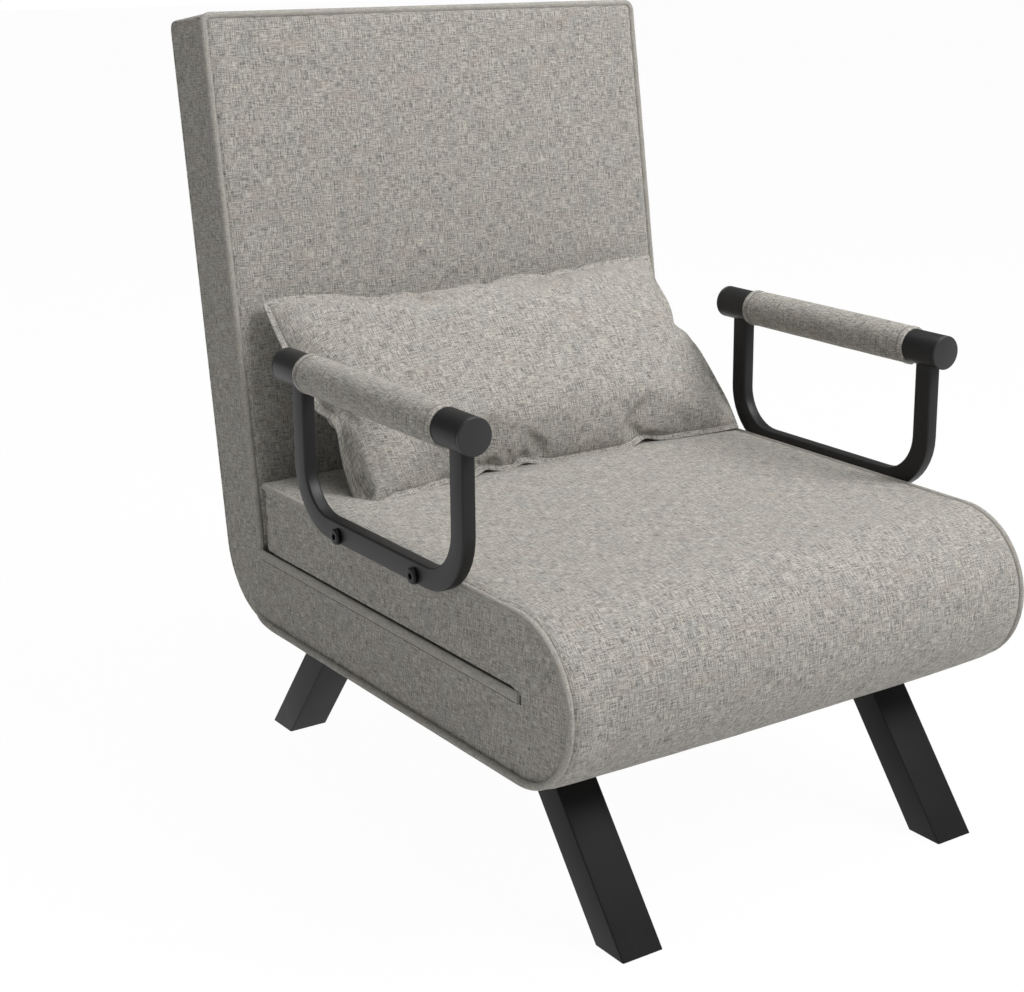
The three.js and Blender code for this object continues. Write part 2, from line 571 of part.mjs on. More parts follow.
// Rails between the legs, mitred to their slant
const legSpread = LEG_D / 2 / Math.cos(LEG_SLANT);
const legFaceU = (footU, toward, z) => footU + toward * (z * Math.tan(LEG_SLANT) + legSpread + SEAM);
const railLow = legTop - RAIL_H;
function railShape() {
  const shape = new THREE.Shape();
  shape.moveTo(legFaceU(REAR_FOOT_U, 1, railLow), railLow);
  shape.lineTo(legFaceU(FRONT_FOOT_U, -1, railLow), railLow);
  shape.lineTo(legFaceU(FRONT_FOOT_U, -1, legTop), legTop);
  shape.lineTo(legFaceU(REAR_FOOT_U, 1, legTop), legTop);
  shape.closePath();
  return shape;
}
for (const [side, x] of [['left', -LEG_X], ['right', LEG_X]]) {
  const outer = profile(railShape(), x - LEG_W / 2, x + LEG_W / 2);
  const inner = block(x - LEG_W / 2 + LEG_WALL, x + LEG_W / 2 - LEG_WALL, REAR_FOOT_U, FRONT_FOOT_U,
    railLow + LEG_WALL, legTop - LEG_WALL);
  addPiece(chair, `rail_${side}`, without(outer, [inner, ...railBoltHoles(railLow - CUT, legTop + CUT)]), steel);
  railBoltUs.forEach((u, i) => {
    const top = BASE_FRAME_Z + RAIL_BOLT_GRIP;
    const shank = turned([
      [0, railLow - SEAM - RAIL_BOLT_HEAD], [0.8 * RAIL_BOLT_HEAD_R, railLow - SEAM - RAIL_BOLT_HEAD],
      [RAIL_BOLT_HEAD_R, railLow - SEAM - 0.7 * RAIL_BOLT_HEAD], [RAIL_BOLT_HEAD_R, railLow - SEAM],
      [RAIL_BOLT_R, railLow - SEAM], [RAIL_BOLT_R, top], [0, top],
    ], SMALL_ROUND);
    shank.rotateY(-Math.PI / 2).translate(x, -u, 0);
    addPiece(chair, `rail_bolt_${i ? 'front' : 'rear'}_${side}`, shank, bolt);
  });
}

// Recline hinges: a fixed notched plate on the base frame and a moving plate on the back frame
function hullShape(circles, sides = SMALL_ROUND) {
  const cloud = circles.flatMap(([u, z, r]) => Array.from({ length: 2 * sides }, (_, i) => {
    const turn = Math.PI * i / sides;
    return new THREE.Vector2(u + r * Math.cos(turn), z + r * Math.sin(turn));
  }));
  cloud.sort((a, b) => a.x - b.x || a.y - b.y);
  const chain = (list) => list.reduce((hull, p) => {
    while (hull.length > 1) {
      const [a, b] = hull.slice(-2);
      if ((b.x - a.x) * (p.y - a.y) - (b.y - a.y) * (p.x - a.x) > 0) break;
      hull.pop();
    }
    return [...hull, p];
  }, []);
  const lower = chain(cloud);
  const upper = chain([...cloud].reverse());
  return new THREE.Shape([...lower.slice(0, -1), ...upper.slice(0, -1)]);
}

const fixedIn = FRAME_HALF + SEAM;
const movingIn = fixedIn + HINGE_THICK + SEAM;
const movingOut = movingIn + HINGE_THICK;
const notchAngle = (Math.PI / 2 - BACK_LEAN) / (NOTCHES - 1);
// All that lies outside the rounded corner between the underside and the back
function outsideCorner(x0, x1, z) {
  const reach = 2 * BASE_THICK;
  return block(x0 - CUT, x1 + CUT, -reach, 0, z - reach, z)
    .subtract(crossRound(BASE_THICK - HINGE_INSET, x0 - 2 * CUT, x1 + 2 * CUT, 0, z, 2 * ROUND));
}
function fixedPlate(x0, x1) {
  const disc = crossRound(HINGE_FIXED_R, x0, x1, -RECLINE_BACK, RECLINE_Z, ROUND + SMALL_ROUND);
  const tail = profile(hullShape([[-RECLINE_BACK, RECLINE_Z, HINGE_TAIL_R],
    [HINGE_TAIL - RECLINE_BACK, RECLINE_Z, HINGE_TAIL_R]]), x0, x1);
  const notches = Array.from({ length: NOTCHES }, (_, i) => {
    const turn = NOTCH_START + i * notchAngle;
    return crossRound(NOTCH_DEPTH, x0 - CUT, x1 + CUT, -RECLINE_BACK + HINGE_FIXED_R * Math.cos(turn),
      RECLINE_Z + HINGE_FIXED_R * Math.sin(turn), 8);
  });
  const hole = crossRound(HINGE_TUBE_R + RUN, x0 - CUT, x1 + CUT, -RECLINE_BACK, RECLINE_Z);
  return without(disc.add(tail), [...notches, hole, outsideCorner(x0, x1, BED_Z)]);
}

// In the upright frame of the back the recline axis lies below the bed level, behind the front face
const axisT = RECLINE_DROP;
const axisS = -RECLINE_BACK;
const backTubeMid = BACK_THICK - PANEL_INSET - PANEL_THICK - SEAM - BACK_TUBE_H / 2;
const armTopS = BACK_FRAME_LOW + 2 * BACK_TUBE_H;
const movingShape = (grow) => hullShape([
  [-axisT, axisS, HINGE_MOVING_R + grow], [-backTubeMid, armTopS, HINGE_TAIL_R + grow],
]);
for (const [side, sign] of [['left', -1], ['right', 1]]) {
  const ends = (a, b) => across(sign, a, b);
  addPiece(chair, `ratchet_plate_${side}`, fixedPlate(...ends(fixedIn, fixedIn + HINGE_THICK)), steel);
  const hole = crossRound(HINGE_TUBE_R + SEAM, ...ends(movingIn - CUT, movingOut + CUT), -axisT, axisS);
  addPiece(back, `recline_arm_${side}`, without(profile(movingShape(0), ...ends(movingIn, movingOut)), [
    hole, outsideCorner(...ends(movingIn, movingOut), 0),
  ]), steel);
}
addPiece(back, 'recline_tube', crossRound(HINGE_TUBE_R, -movingOut - CUT, movingOut + CUT, -axisT, axisS), steel);

// Back section: frame behind a sling, closed by the rear panel
const backFrameT0 = backTubeMid - BACK_TUBE_H / 2;
const backFrameT1 = backTubeMid + BACK_TUBE_H / 2;
const backFrameTop = BACK_LENGTH - BACK_FRAME_TOP_GAP;
const backSides = pairOf(sideIn, FRAME_HALF, -backFrameT1, -backFrameT0, BACK_FRAME_LOW, backFrameTop);
const backChannels = pairOf(sideIn + TUBE_WALL, FRAME_HALF - TUBE_WALL, -backFrameT1 + TUBE_WALL,
  -backFrameT0 - TUBE_WALL, BACK_FRAME_LOW - CUT, backFrameTop + CUT);
const backCrossS = [BACK_FRAME_LOW, HEAD_LEG_S - TUBE_W / 2, backFrameTop - TUBE_W];
const backCross = backCrossS.map((s) => block(-sideIn - TUBE_WALL / 2, sideIn + TUBE_WALL / 2,
  -backFrameT1, -backFrameT0, s, s + TUBE_W));
const backCrossIn = backCrossS.map((s) => block(-sideIn - TUBE_WALL - CUT, sideIn + TUBE_WALL + CUT,
  -backFrameT1 + TUBE_WALL, -backFrameT0 - TUBE_WALL, s + TUBE_WALL, s + TUBE_W - TUBE_WALL));
addPiece(back, 'back_frame', joined([...backSides, ...backCross])
  .subtract(joined([...backChannels, ...backCrossIn])), steel);

const backSlingT = backFrameT0 - SEAM - SLING_THICK;
addPiece(back, 'back_sling', block(-FRAME_HALF + TUBE_WALL, FRAME_HALF - TUBE_WALL,
  -backSlingT - SLING_THICK, -backSlingT, BACK_FRAME_LOW, backFrameTop), lining);
addPiece(back, 'back_panel', block(-FRAME_HALF, FRAME_HALF, PANEL_INSET - BACK_THICK,
  PANEL_INSET + PANEL_THICK - BACK_THICK, BACK_FRAME_LOW, backFrameTop), fabric);

const toBack = (solid) => solid.translate([0, 0, -BED_Z]).rotate([THREE.MathUtils.radToDeg(BACK_LEAN), 0, 0]);
const frontOfMitre = (offset) => {
  const size = 4 * BACK_THICK;
  const box = new THREE.BoxGeometry(WIDTH + 2 * (SIDE_BULGE + CUT), size, 2 * size);
  box.translate(0, -size / 2 + offset, 0);
  return toSolid(box.rotateX(-Math.PI / 2 - mitre).translate(0, 0, BED_Z));
};
const belowAxis = (solid) => solid.intersect(level(-WIDTH, BED_Z + SEAM));
addPiece(back, 'back_cushion', without(cushion(backOutline, backHub, backCrown), [
  toBack(belowAxis(frontOfMitre(SEAM))),
  toBack(reclineClear),
  ...hingeSlots.map(toBack),
  ...pairOf(slotIn - CUT, hingeSlotOut, -BACK_THICK - CUT, -backSlingT, BACK_FRAME_LOW - SEAM, armTopS + SLOT_CLEAR
    + HINGE_TAIL_R),
  ...[-1, 1].map((sign) => profile(movingShape(SLOT_CLEAR), ...across(sign, slotIn, hingeSlotOut))),
  block(-slotIn, slotIn, -BACK_THICK - CUT, -backSlingT + SEAM, BACK_FRAME_LOW - SEAM, backFrameTop + SEAM),
]), fabric);

// Leg under the head end: a bent tube on two brackets, folded down against the rear panel
const legT = BACK_THICK + HEAD_LEG_STANDOFF;
const standing = BED_Z - legT - HEAD_LEG_R - HEAD_RING_THICK; // pin to bar, so that the rings reach the floor
const barS = HEAD_LEG_S - standing;
class LegLine extends THREE.Curve {
  getPoint(share, target = new THREE.Vector3()) {
    const straight = HEAD_LEG_S + HEAD_LEG_OVER - barS - HEAD_LEG_BEND;
    const quarter = HEAD_LEG_BEND * Math.PI / 2;
    const flat = 2 * (HEAD_LEG_X - HEAD_LEG_BEND);
    const whole = 2 * (straight + quarter) + flat;
    const mirrored = share > 0.5 ? 1 : -1;
    const way = Math.min(share, 1 - share) * whole;
    const end = HEAD_LEG_X - HEAD_LEG_BEND;
    if (way < straight) return target.set(mirrored * HEAD_LEG_X, legT, HEAD_LEG_S + HEAD_LEG_OVER - way);
    if (way < straight + quarter) {
      const turn = (way - straight) / HEAD_LEG_BEND;
      return target.set(mirrored * (end + HEAD_LEG_BEND * Math.cos(turn)), legT,
        barS + HEAD_LEG_BEND * (1 - Math.sin(turn)));
    }
    return target.set(mirrored * (flat / 2 - (way - straight - quarter)), legT, barS);
  }
}
const ringOf = (radius, sides) => new THREE.Shape(Array.from({ length: sides }, (_, i) => new THREE.Vector2(
  radius * Math.cos(2 * Math.PI * i / sides), radius * Math.sin(2 * Math.PI * i / sides),
)));
const legTube = toSolid(new THREE.ExtrudeGeometry(ringOf(HEAD_LEG_R, SMALL_ROUND), {
  steps: ROUND + SMALL_ROUND, extrudePath: new LegLine(), bevelEnabled: false,
}));
addPiece(back, 'head_leg', legTube.subtract(
  crossRound(EAR_HOLE_R, -HEAD_LEG_X - 2 * HEAD_LEG_R, HEAD_LEG_X + 2 * HEAD_LEG_R, -legT, HEAD_LEG_S),
), steel);
for (const [side, sign] of [['left', -1], ['right', 1]]) {
  const ring = turned([
    [HEAD_LEG_R + SEAM, -HEAD_RING_LENGTH / 2], [HEAD_LEG_R + HEAD_RING_THICK, -HEAD_RING_LENGTH / 2],
    [HEAD_LEG_R + HEAD_RING_THICK, HEAD_RING_LENGTH / 2], [HEAD_LEG_R + SEAM, HEAD_RING_LENGTH / 2],
    [HEAD_LEG_R + SEAM, -HEAD_RING_LENGTH / 2],
  ], SMALL_ROUND);
  addPiece(back, `head_leg_ring_${side}`, ring.translate(sign * HEAD_RING_X, legT, barS), rubber);
  const mid = sign * HEAD_LEG_X;
  const inner = HEAD_LEG_R + SEAM;
  const outer = inner + EAR_THICK;
  const ear = hullShape([[-legT, HEAD_LEG_S, EAR_R],
    [-BACK_THICK - EAR_R, HEAD_LEG_S - EAR_R / 2, EAR_R - SEAM], [-BACK_THICK - EAR_R, HEAD_LEG_S + EAR_R / 2, EAR_R - SEAM]]);
  const foot = block(mid - outer, mid + outer, -BACK_THICK - SEAM - EAR_THICK, -BACK_THICK + PANEL_INSET - SEAM,
    HEAD_LEG_S - EAR_BASE_S / 2, HEAD_LEG_S + EAR_BASE_S / 2);
  const ears = [profile(ear, mid - outer, mid - inner), profile(ear, mid + inner, mid + outer)];
  addPiece(back, `head_bracket_${side}`, joined([foot, ...ears]).subtract(
    crossRound(EAR_HOLE_R, mid - outer - CUT, mid + outer + CUT, -legT, HEAD_LEG_S),
  ), steel);
  const head = outer + SEAM;
  const pin = turned([
    [0, -head - EAR_PIN_HEAD], [EAR_PIN_HEAD_R, -head - EAR_PIN_HEAD], [EAR_PIN_HEAD_R, -head],
    [EAR_PIN_R, -head], [EAR_PIN_R, head], [EAR_PIN_HEAD_R, head],
    [EAR_PIN_HEAD_R, head + EAR_PIN_HEAD], [0, head + EAR_PIN_HEAD],
  ], SMALL_ROUND);
  addPiece(back, `head_pin_${side}`, pin.translate(mid, legT, HEAD_LEG_S), bolt);
}

// Fold links, their pins and the cross bar in the front roll
const nose = [FOLD_U + LINK_NOSE, BED_Z];
const linkShape = (grow) => hullShape([[FOLD_U, FOLD_LOW_Z, LINK_END_R + grow],
  [FOLD_U, FOLD_HIGH_Z, LINK_END_R + grow], [...nose, LINK_NOSE_R + grow]]);
for (const [side, sign] of [['left', -1], ['right', 1]]) {
  const ends = (a, b) => across(sign, a, b);
  const window = profile(hullShape([[FOLD_U + LINK_END_R, BED_Z - PIVOT_DROP / 3, LINK_HOLE_R / 2],
    [FOLD_U + LINK_END_R, BED_Z + PIVOT_DROP / 3, LINK_HOLE_R / 2]], ARC_STEPS), ...ends(linkIn - CUT, linkOut + CUT));
  addPiece(chair, `fold_link_${side}`, without(profile(linkShape(0), ...ends(linkIn, linkOut)), [
    window,
    crossRound(PIN_R + RUN, ...ends(linkIn - CUT, linkOut + CUT), FOLD_U, FOLD_LOW_Z),
    crossRound(PIN_R + RUN, ...ends(linkIn - CUT, linkOut + CUT), FOLD_U, FOLD_HIGH_Z),
  ]), steel);
  for (const [height, z] of [['low', FOLD_LOW_Z], ['high', FOLD_HIGH_Z]]) {
    const inside = sideIn - SEAM;
    const pin = turned([
      [0, inside - PIN_HEAD], [PIN_HEAD_R, inside - PIN_HEAD], [PIN_HEAD_R, inside], [PIN_R, inside],
      [PIN_R, FRAME_HALF + SEAM], [PIN_HEAD_R, FRAME_HALF + SEAM], [PIN_HEAD_R, linkIn - SEAM],
      [PIN_R, linkIn - SEAM], [PIN_R, linkOut + SEAM], [PIN_HEAD_R, linkOut + SEAM],
      [PIN_HEAD_R, headOut], [0, headOut],
    ], SMALL_ROUND);
    if (sign < 0) pin.rotateZ(Math.PI);
    addPiece(chair, `fold_pin_${height}_${side}`, pin.translate(0, -FOLD_U, z), bolt);
  }
}
addPiece(chair, 'fold_crossbar', crossRound(CROSSBAR_R, -linkIn + SEAM, linkIn - SEAM, ...nose, ROUND), steel);
addPiece(chair, 'front_roll', without(cushion(rollOutline, rollHub, flat), [
  crossRound(CROSSBAR_R + SEAM, -slotIn, slotIn, ...nose, ROUND),
  ...[-1, 1].map((sign) => profile(linkShape(SLOT_CLEAR), ...across(sign, slotIn, slotOut))),
]), fabric);

// Seat section: frame under the top pad, with bosses for the arms
const seatFrameTop = SEAT_TOP_Z - SEAT_FRAME_COVER;
const seatFrameLow = seatFrameTop - SEAT_TUBE_H;
const armBoltUs = [ARM_MID_U - ARM_BOLT_SPAN / 2, ARM_MID_U + ARM_BOLT_SPAN / 2];
const armBoltZ = BAR_Z + ARM_BOLT_RISE;
const seatCrossUs = [SEAT_FRAME_REAR + TUBE_W / 2, ARM_MID_U, FOLD_U - LINK_END_R - TUBE_W];
const seatSides = [{ rear: SEAT_FRAME_REAR, front: frontEnd, z0: seatFrameLow, z1: seatFrameTop }];
const seatCrosses = seatCrossUs.map((u) => ({ u, wide: TUBE_W, z0: seatFrameLow, z1: seatFrameTop }));
const bosses = (radius, from, to) => [-1, 1].flatMap((sign) => armBoltUs.map((u) => crossRound(
  radius, ...across(sign, from, to), u, armBoltZ,
)));
addPiece(chair, 'seat_frame', without(
  joined([tubeFrame(seatSides, seatCrosses), ...bosses(BOSS_R, FRAME_HALF - TUBE_WALL / 2, BAR_IN - SEAM)]),
  [pinHole(FOLD_HIGH_Z), ...bosses(ARM_BOLT_R + RUN, FRAME_HALF - TUBE_W / 2, BAR_IN + CUT)],
), steel);

const seatSlingZ = seatFrameLow - SEAM - SLING_THICK;
addPiece(chair, 'seat_sling', slingOf(SEAT_FRAME_REAR, frontEnd - CUT, seatSlingZ), lining);

const splitZ = seatSlingZ - SEAM;
const seatRaw = cushion(seatOutline, seatHub, seatCrown);
const channel = (x0, x1, u0, u1) => block(x0 - SEAM, x1 + SEAM, u0 - SEAM, u1 + SEAM,
  splitZ - CUT, seatFrameTop + SEAM);
addPiece(chair, 'seat_foam', without(seatRaw.intersect(level(0, splitZ - SEAM)), [
  ...linkSlots(BED_Z - CUT, SEAT_TOP_Z + CUT), ...headRecess(FOLD_HIGH_Z),
]), fabric);
addPiece(chair, 'seat_pad', without(seatRaw.intersect(level(splitZ, SEAT_TOP_Z + WIDTH)), [
  ...linkSlots(BED_Z - CUT, SEAT_TOP_Z + CUT), ...headRecess(FOLD_HIGH_Z),
  channel(sideIn, FRAME_HALF, SEAT_FRAME_REAR, frontEnd), channel(-FRAME_HALF, -sideIn, SEAT_FRAME_REAR, frontEnd),
  ...seatCrossUs.map((u) => channel(-sideIn, sideIn, u - TUBE_W / 2, u + TUBE_W / 2)),
  block(-FRAME_HALF, FRAME_HALF, SEAT_FRAME_REAR - SEAM, frontEnd + SEAM, splitZ - CUT, seatFrameLow),
  ...bosses(BOSS_R + SEAM, FRAME_HALF - TUBE_WALL, HALF + SIDE_BULGE + CUT),
]), fabric);

// Arms: a U-shaped bar welded to a round tube, with a sleeve, end caps and two bolts
function barShape() {
  const low = BAR_Z;
  const top = ARM_Z;
  const rear = ARM_MID_U - BAR_SPAN / 2;
  const front = ARM_MID_U + BAR_SPAN / 2;
  const r = BAR_CORNER_R;
  const inner = r - BAR_D;
  const shape = new THREE.Shape();
  shape.moveTo(rear, top);
  shape.lineTo(rear, low + r);
  shape.absarc(rear + r, low + r, r, Math.PI, 1.5 * Math.PI);
  shape.lineTo(front - r, low);
  shape.absarc(front - r, low + r, r, -Math.PI / 2, 0);
  shape.lineTo(front, top);
  shape.lineTo(front - BAR_D, top);
  shape.lineTo(front - BAR_D, low + r);
  shape.absarc(front - r, low + r, inner, 0, -Math.PI / 2, true);
  shape.lineTo(rear + r, low + BAR_D);
  shape.absarc(rear + r, low + r, inner, 1.5 * Math.PI, Math.PI, true);
  shape.lineTo(rear + BAR_D, top);
  shape.closePath();
  return shape;
}

const tubeMid = ARM_MID_U - ARM_TUBE_BACK;
const tubeHalf = ARM_LENGTH / 2 - CAP;
function roundAlong(points, x, u, sides = ROUND) {
  return turned(points, sides).rotateZ(-Math.PI / 2).translate(x, -u, ARM_Z);
}
for (const [side, sign] of [['left', -1], ['right', 1]]) {
  const x = sign * ARM_X;
  const bar = profile(barShape(), ...across(sign, BAR_IN + BAR_EDGE_R, BAR_OUT - BAR_EDGE_R), {
    bevelEnabled: true, bevelThickness: BAR_EDGE_R, bevelSize: BAR_EDGE_R, bevelOffset: -BAR_EDGE_R, bevelSegments: 1,
  });
  const tube = toSolid(roundAlong([[0, -tubeHalf], [ARM_R, -tubeHalf], [ARM_R, tubeHalf], [0, tubeHalf]], x, tubeMid));
  const bore = toSolid(roundAlong([[0, -ARM_LENGTH], [ARM_R - ARM_WALL, -ARM_LENGTH],
    [ARM_R - ARM_WALL, ARM_LENGTH], [0, ARM_LENGTH]], x, tubeMid));
  const holes = armBoltUs.map((u) => crossRound(ARM_BOLT_R + RUN,
    ...across(sign, BAR_IN - CUT, BAR_OUT + CUT), u, armBoltZ));
  addPiece(chair, `arm_frame_${side}`, without(bar.add(tube), [bore, ...holes]), steel);

  const inner = ARM_R + SEAM;
  const outer = inner + SLEEVE_THICK;
  const half = SLEEVE_LENGTH / 2;
  const sleeve = [
    [inner, -half], [outer - HEM_THICK, -half], [outer + HEM_THICK, HEM_THICK - half],
    [outer + HEM_THICK, HEM - HEM_THICK - half], [outer, HEM - half], [outer, half - HEM],
    [outer + HEM_THICK, half - HEM + HEM_THICK], [outer + HEM_THICK, half - HEM_THICK],
    [outer - HEM_THICK, half], [inner, half], [inner, -half],
  ];
  const uprights = joined([rearUpright(sign), frontUpright(sign)]);
  addPiece(chair, `arm_sleeve_${side}`, toSolid(roundAlong(sleeve, x, tubeMid + SLEEVE_FORWARD)).subtract(uprights), fabric);

  for (const [end, toward] of [['rear', -1], ['front', 1]]) {
    const cap = turned([
      [0, -CAP_PLUG], [ARM_R - ARM_WALL - SEAM, -CAP_PLUG], [ARM_R - ARM_WALL - SEAM, SEAM], [ARM_R, SEAM],
      [ARM_R, CAP - CAP_EDGE_R], [ARM_R - CAP_EDGE_R, CAP], [0, CAP],
    ]);
    cap.rotateZ(toward > 0 ? -Math.PI / 2 : Math.PI / 2);
    addPiece(chair, `arm_cap_${end}_${side}`, cap.translate(x, -(tubeMid + toward * tubeHalf), ARM_Z), plastic);
  }

  armBoltUs.forEach((u, i) => {
    const grip = BAR_IN - BOSS_GRIP - SEAM;
    const head = BAR_OUT + SEAM;
    const screw = turned([
      [0, grip], [ARM_BOLT_R, grip], [ARM_BOLT_R, head], [BOLT_HEAD_R, head],
      [BOLT_HEAD_R, head + 0.3 * BOLT_HEAD], [0.8 * BOLT_HEAD_R, head + 0.8 * BOLT_HEAD],
      [0.5 * BOLT_HEAD_R, head + BOLT_HEAD], [0, head + BOLT_HEAD],
    ], SMALL_ROUND);
    const socket = new THREE.CylinderGeometry(SOCKET_R, SOCKET_R, 2 * SOCKET_DEPTH, 6);
    socket.rotateZ(Math.PI / 2).translate(head + BOLT_HEAD, 0, 0);
    const solid = toGeometry(toSolid(screw).subtract(toSolid(socket)));
    if (sign < 0) solid.rotateZ(Math.PI);
    addPiece(chair, `arm_bolt_${i ? 'front' : 'rear'}_${side}`, solid.translate(0, -u, armBoltZ), bolt);
  });
}

// The uprights of the bar with a clearance, where the sleeve is let in round them
function upright(sign, u0) {
  return block(...across(sign, BAR_IN - SEAM, BAR_OUT + SEAM), u0 - SEAM, u0 + BAR_D + SEAM, BAR_Z, ARM_Z);
}
function rearUpright(sign) { return upright(sign, ARM_MID_U - BAR_SPAN / 2); }
function frontUpright(sign) { return upright(sign, ARM_MID_U + BAR_SPAN / 2 - BAR_D); }

// Pillow: two swelling faces joined at a flat flange, drawn in along its edges, leaning from the seat
// to the back
const pillowColumns = 24;
const pillowRows = 12;
function pillowPoint(i, j, face) {
  const a = -1 + 2 * i / pillowColumns;
  const b = -1 + 2 * j / pillowRows;
  const w = PILLOW_W / 2 - PILLOW_FLANGE;
  const h = PILLOW_H / 2 - PILLOW_FLANGE;
  const x = a * w * (1 - PILLOW_DRAW_SHARE * (1 - b * b));
  const y = b * h * (1 - PILLOW_DIP_SHARE * (1 - a * a));
  const fill = ((1 - a ** 4) * (1 - b * b)) ** 0.6;
  return new THREE.Vector3(x, y, face * (PILLOW_FLANGE_THICK / 2 + (PILLOW_THICK - PILLOW_FLANGE_THICK) / 2 * fill));
}

function pillowGeometry() {
  const points = [];
  const index = new Map();
  const rim = (i, j) => i < 0 || j < 0 || i > pillowColumns || j > pillowRows;
  const put = (i, j, face) => {
    const key = `${i},${j},${face}`;
    if (!index.has(key)) {
      const ci = THREE.MathUtils.clamp(i, 0, pillowColumns);
      const cj = THREE.MathUtils.clamp(j, 0, pillowRows);
      const p = pillowPoint(ci, cj, face);
      if (rim(i, j)) p.add(new THREE.Vector3(PILLOW_FLANGE * Math.sign(i - ci), PILLOW_FLANGE * Math.sign(j - cj), 0));
      index.set(key, points.length / 3);
      points.push(p.x, p.y, p.z);
    }
    return index.get(key);
  };
  const faces = [];
  const quad = (a, b, c, d) => faces.push(a, b, c, a, c, d);
  for (let i = -1; i <= pillowColumns; i += 1) {
    for (let j = -1; j <= pillowRows; j += 1) {
      quad(put(i, j, 1), put(i + 1, j, 1), put(i + 1, j + 1, 1), put(i, j + 1, 1));
      quad(put(i, j, -1), put(i, j + 1, -1), put(i + 1, j + 1, -1), put(i + 1, j, -1));
    }
  }
  for (let i = -1; i <= pillowColumns; i += 1) {
    quad(put(i, -1, -1), put(i + 1, -1, -1), put(i + 1, -1, 1), put(i, -1, 1));
    quad(put(i, pillowRows + 1, 1), put(i + 1, pillowRows + 1, 1), put(i + 1, pillowRows + 1, -1), put(i, pillowRows + 1, -1));
  }
  for (let j = -1; j <= pillowRows; j += 1) {
    quad(put(-1, j, -1), put(-1, j, 1), put(-1, j + 1, 1), put(-1, j + 1, -1));
    quad(put(pillowColumns + 1, j, 1), put(pillowColumns + 1, j, -1), put(pillowColumns + 1, j + 1, -1), put(pillowColumns + 1, j + 1, 1));
  }
  const geometry = new THREE.BufferGeometry();
  geometry.setAttribute('position', new THREE.Float32BufferAttribute(points, 3));
  geometry.setIndex(faces);
  return geometry;
}

// Laid in the corner on its photographed slant. Where it presses on the seat or the back it goes flat,
// a seam away from them.
const pillow = pillowGeometry().rotateX(Math.PI / 2 - PILLOW_TILT);
pillow.translate(PILLOW_OFF_MIDDLE, -PILLOW_U, PILLOW_Z);
const pillowPlaces = pillow.attributes.position;
for (let i = 0; i < pillowPlaces.count; i += 1) {
  const across = pillowPlaces.getX(i) / HALF;
  const z = Math.max(pillowPlaces.getZ(i), SEAT_TOP_Z + 2 * SEAM + seatCrown({
    u: -pillowPlaces.getY(i), z: SEAT_TOP_Z,
  }, across));
  const up = (z - BED_Z) / Math.cos(BACK_LEAN);
  const face = (2 * SEAM + backCrown({ u: 0, z: up }, across)) / Math.cos(BACK_LEAN) - (z - BED_Z) * Math.tan(BACK_LEAN);
  pillowPlaces.setXYZ(i, pillowPlaces.getX(i), -Math.max(-pillowPlaces.getY(i), face), z);
}
addPiece(chair, 'pillow', pillow, fabric);

// The origin lies on the floor, under the middle of the whole chair
chair.updateMatrixWorld(true);
const bounds = new THREE.Box3().setFromObject(chair, true);
chair.position.y = -(bounds.min.y + bounds.max.y) / 2;
const root = new THREE.Group();
root.add(chair);

export default root;
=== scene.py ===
"""Convertible chair bed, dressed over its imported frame.

The mattress, the pillow and the sleeves are upholstered in a light warm grey, heathered cloth with
self-piping. Arms, legs, rails and the folding head leg are black powder-coated steel. Metres, with
the frame's axes: X across, the front faces -Y, Z up. Side profiles use (u, z), where u runs forward
from the line in which the front face of the back meets the bed level.
"""

import json
import logging
import math
from dataclasses import dataclass, field
from enum import Enum
from typing import Callable, Dict, List, Optional, Sequence, Tuple, Union

import bmesh
import bpy
import numpy as np
from mathutils import Matrix, Vector, geometry, kdtree, noise


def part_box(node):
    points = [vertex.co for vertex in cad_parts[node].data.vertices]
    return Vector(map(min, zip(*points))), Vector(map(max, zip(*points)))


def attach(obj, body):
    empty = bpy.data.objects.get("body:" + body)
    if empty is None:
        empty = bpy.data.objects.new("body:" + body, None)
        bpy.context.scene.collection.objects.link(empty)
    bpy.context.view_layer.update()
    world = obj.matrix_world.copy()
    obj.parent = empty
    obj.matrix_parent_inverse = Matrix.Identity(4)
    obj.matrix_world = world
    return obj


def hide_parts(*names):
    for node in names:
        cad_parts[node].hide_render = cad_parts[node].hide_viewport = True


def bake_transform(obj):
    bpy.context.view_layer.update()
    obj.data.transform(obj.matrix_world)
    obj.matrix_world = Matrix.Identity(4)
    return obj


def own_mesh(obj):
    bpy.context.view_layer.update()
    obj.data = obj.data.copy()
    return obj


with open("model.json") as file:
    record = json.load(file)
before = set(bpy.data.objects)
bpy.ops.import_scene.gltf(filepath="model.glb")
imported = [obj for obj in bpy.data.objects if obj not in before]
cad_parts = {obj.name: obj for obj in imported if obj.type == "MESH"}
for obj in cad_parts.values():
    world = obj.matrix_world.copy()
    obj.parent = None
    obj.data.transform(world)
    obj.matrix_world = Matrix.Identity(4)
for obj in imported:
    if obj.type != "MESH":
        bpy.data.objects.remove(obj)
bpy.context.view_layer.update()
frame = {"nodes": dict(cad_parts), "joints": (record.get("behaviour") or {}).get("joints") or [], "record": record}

log = logging.getLogger("chair_bed")

Place = Tuple[float, float]
Crown = Callable[[float], float]  # how far a face stands out, at a share of its length
Setting = Union[float, Tuple[float, ...], "Link"]
MM = 0.001
SIDES = (-1.0, 1.0)  # left and right


# Shading


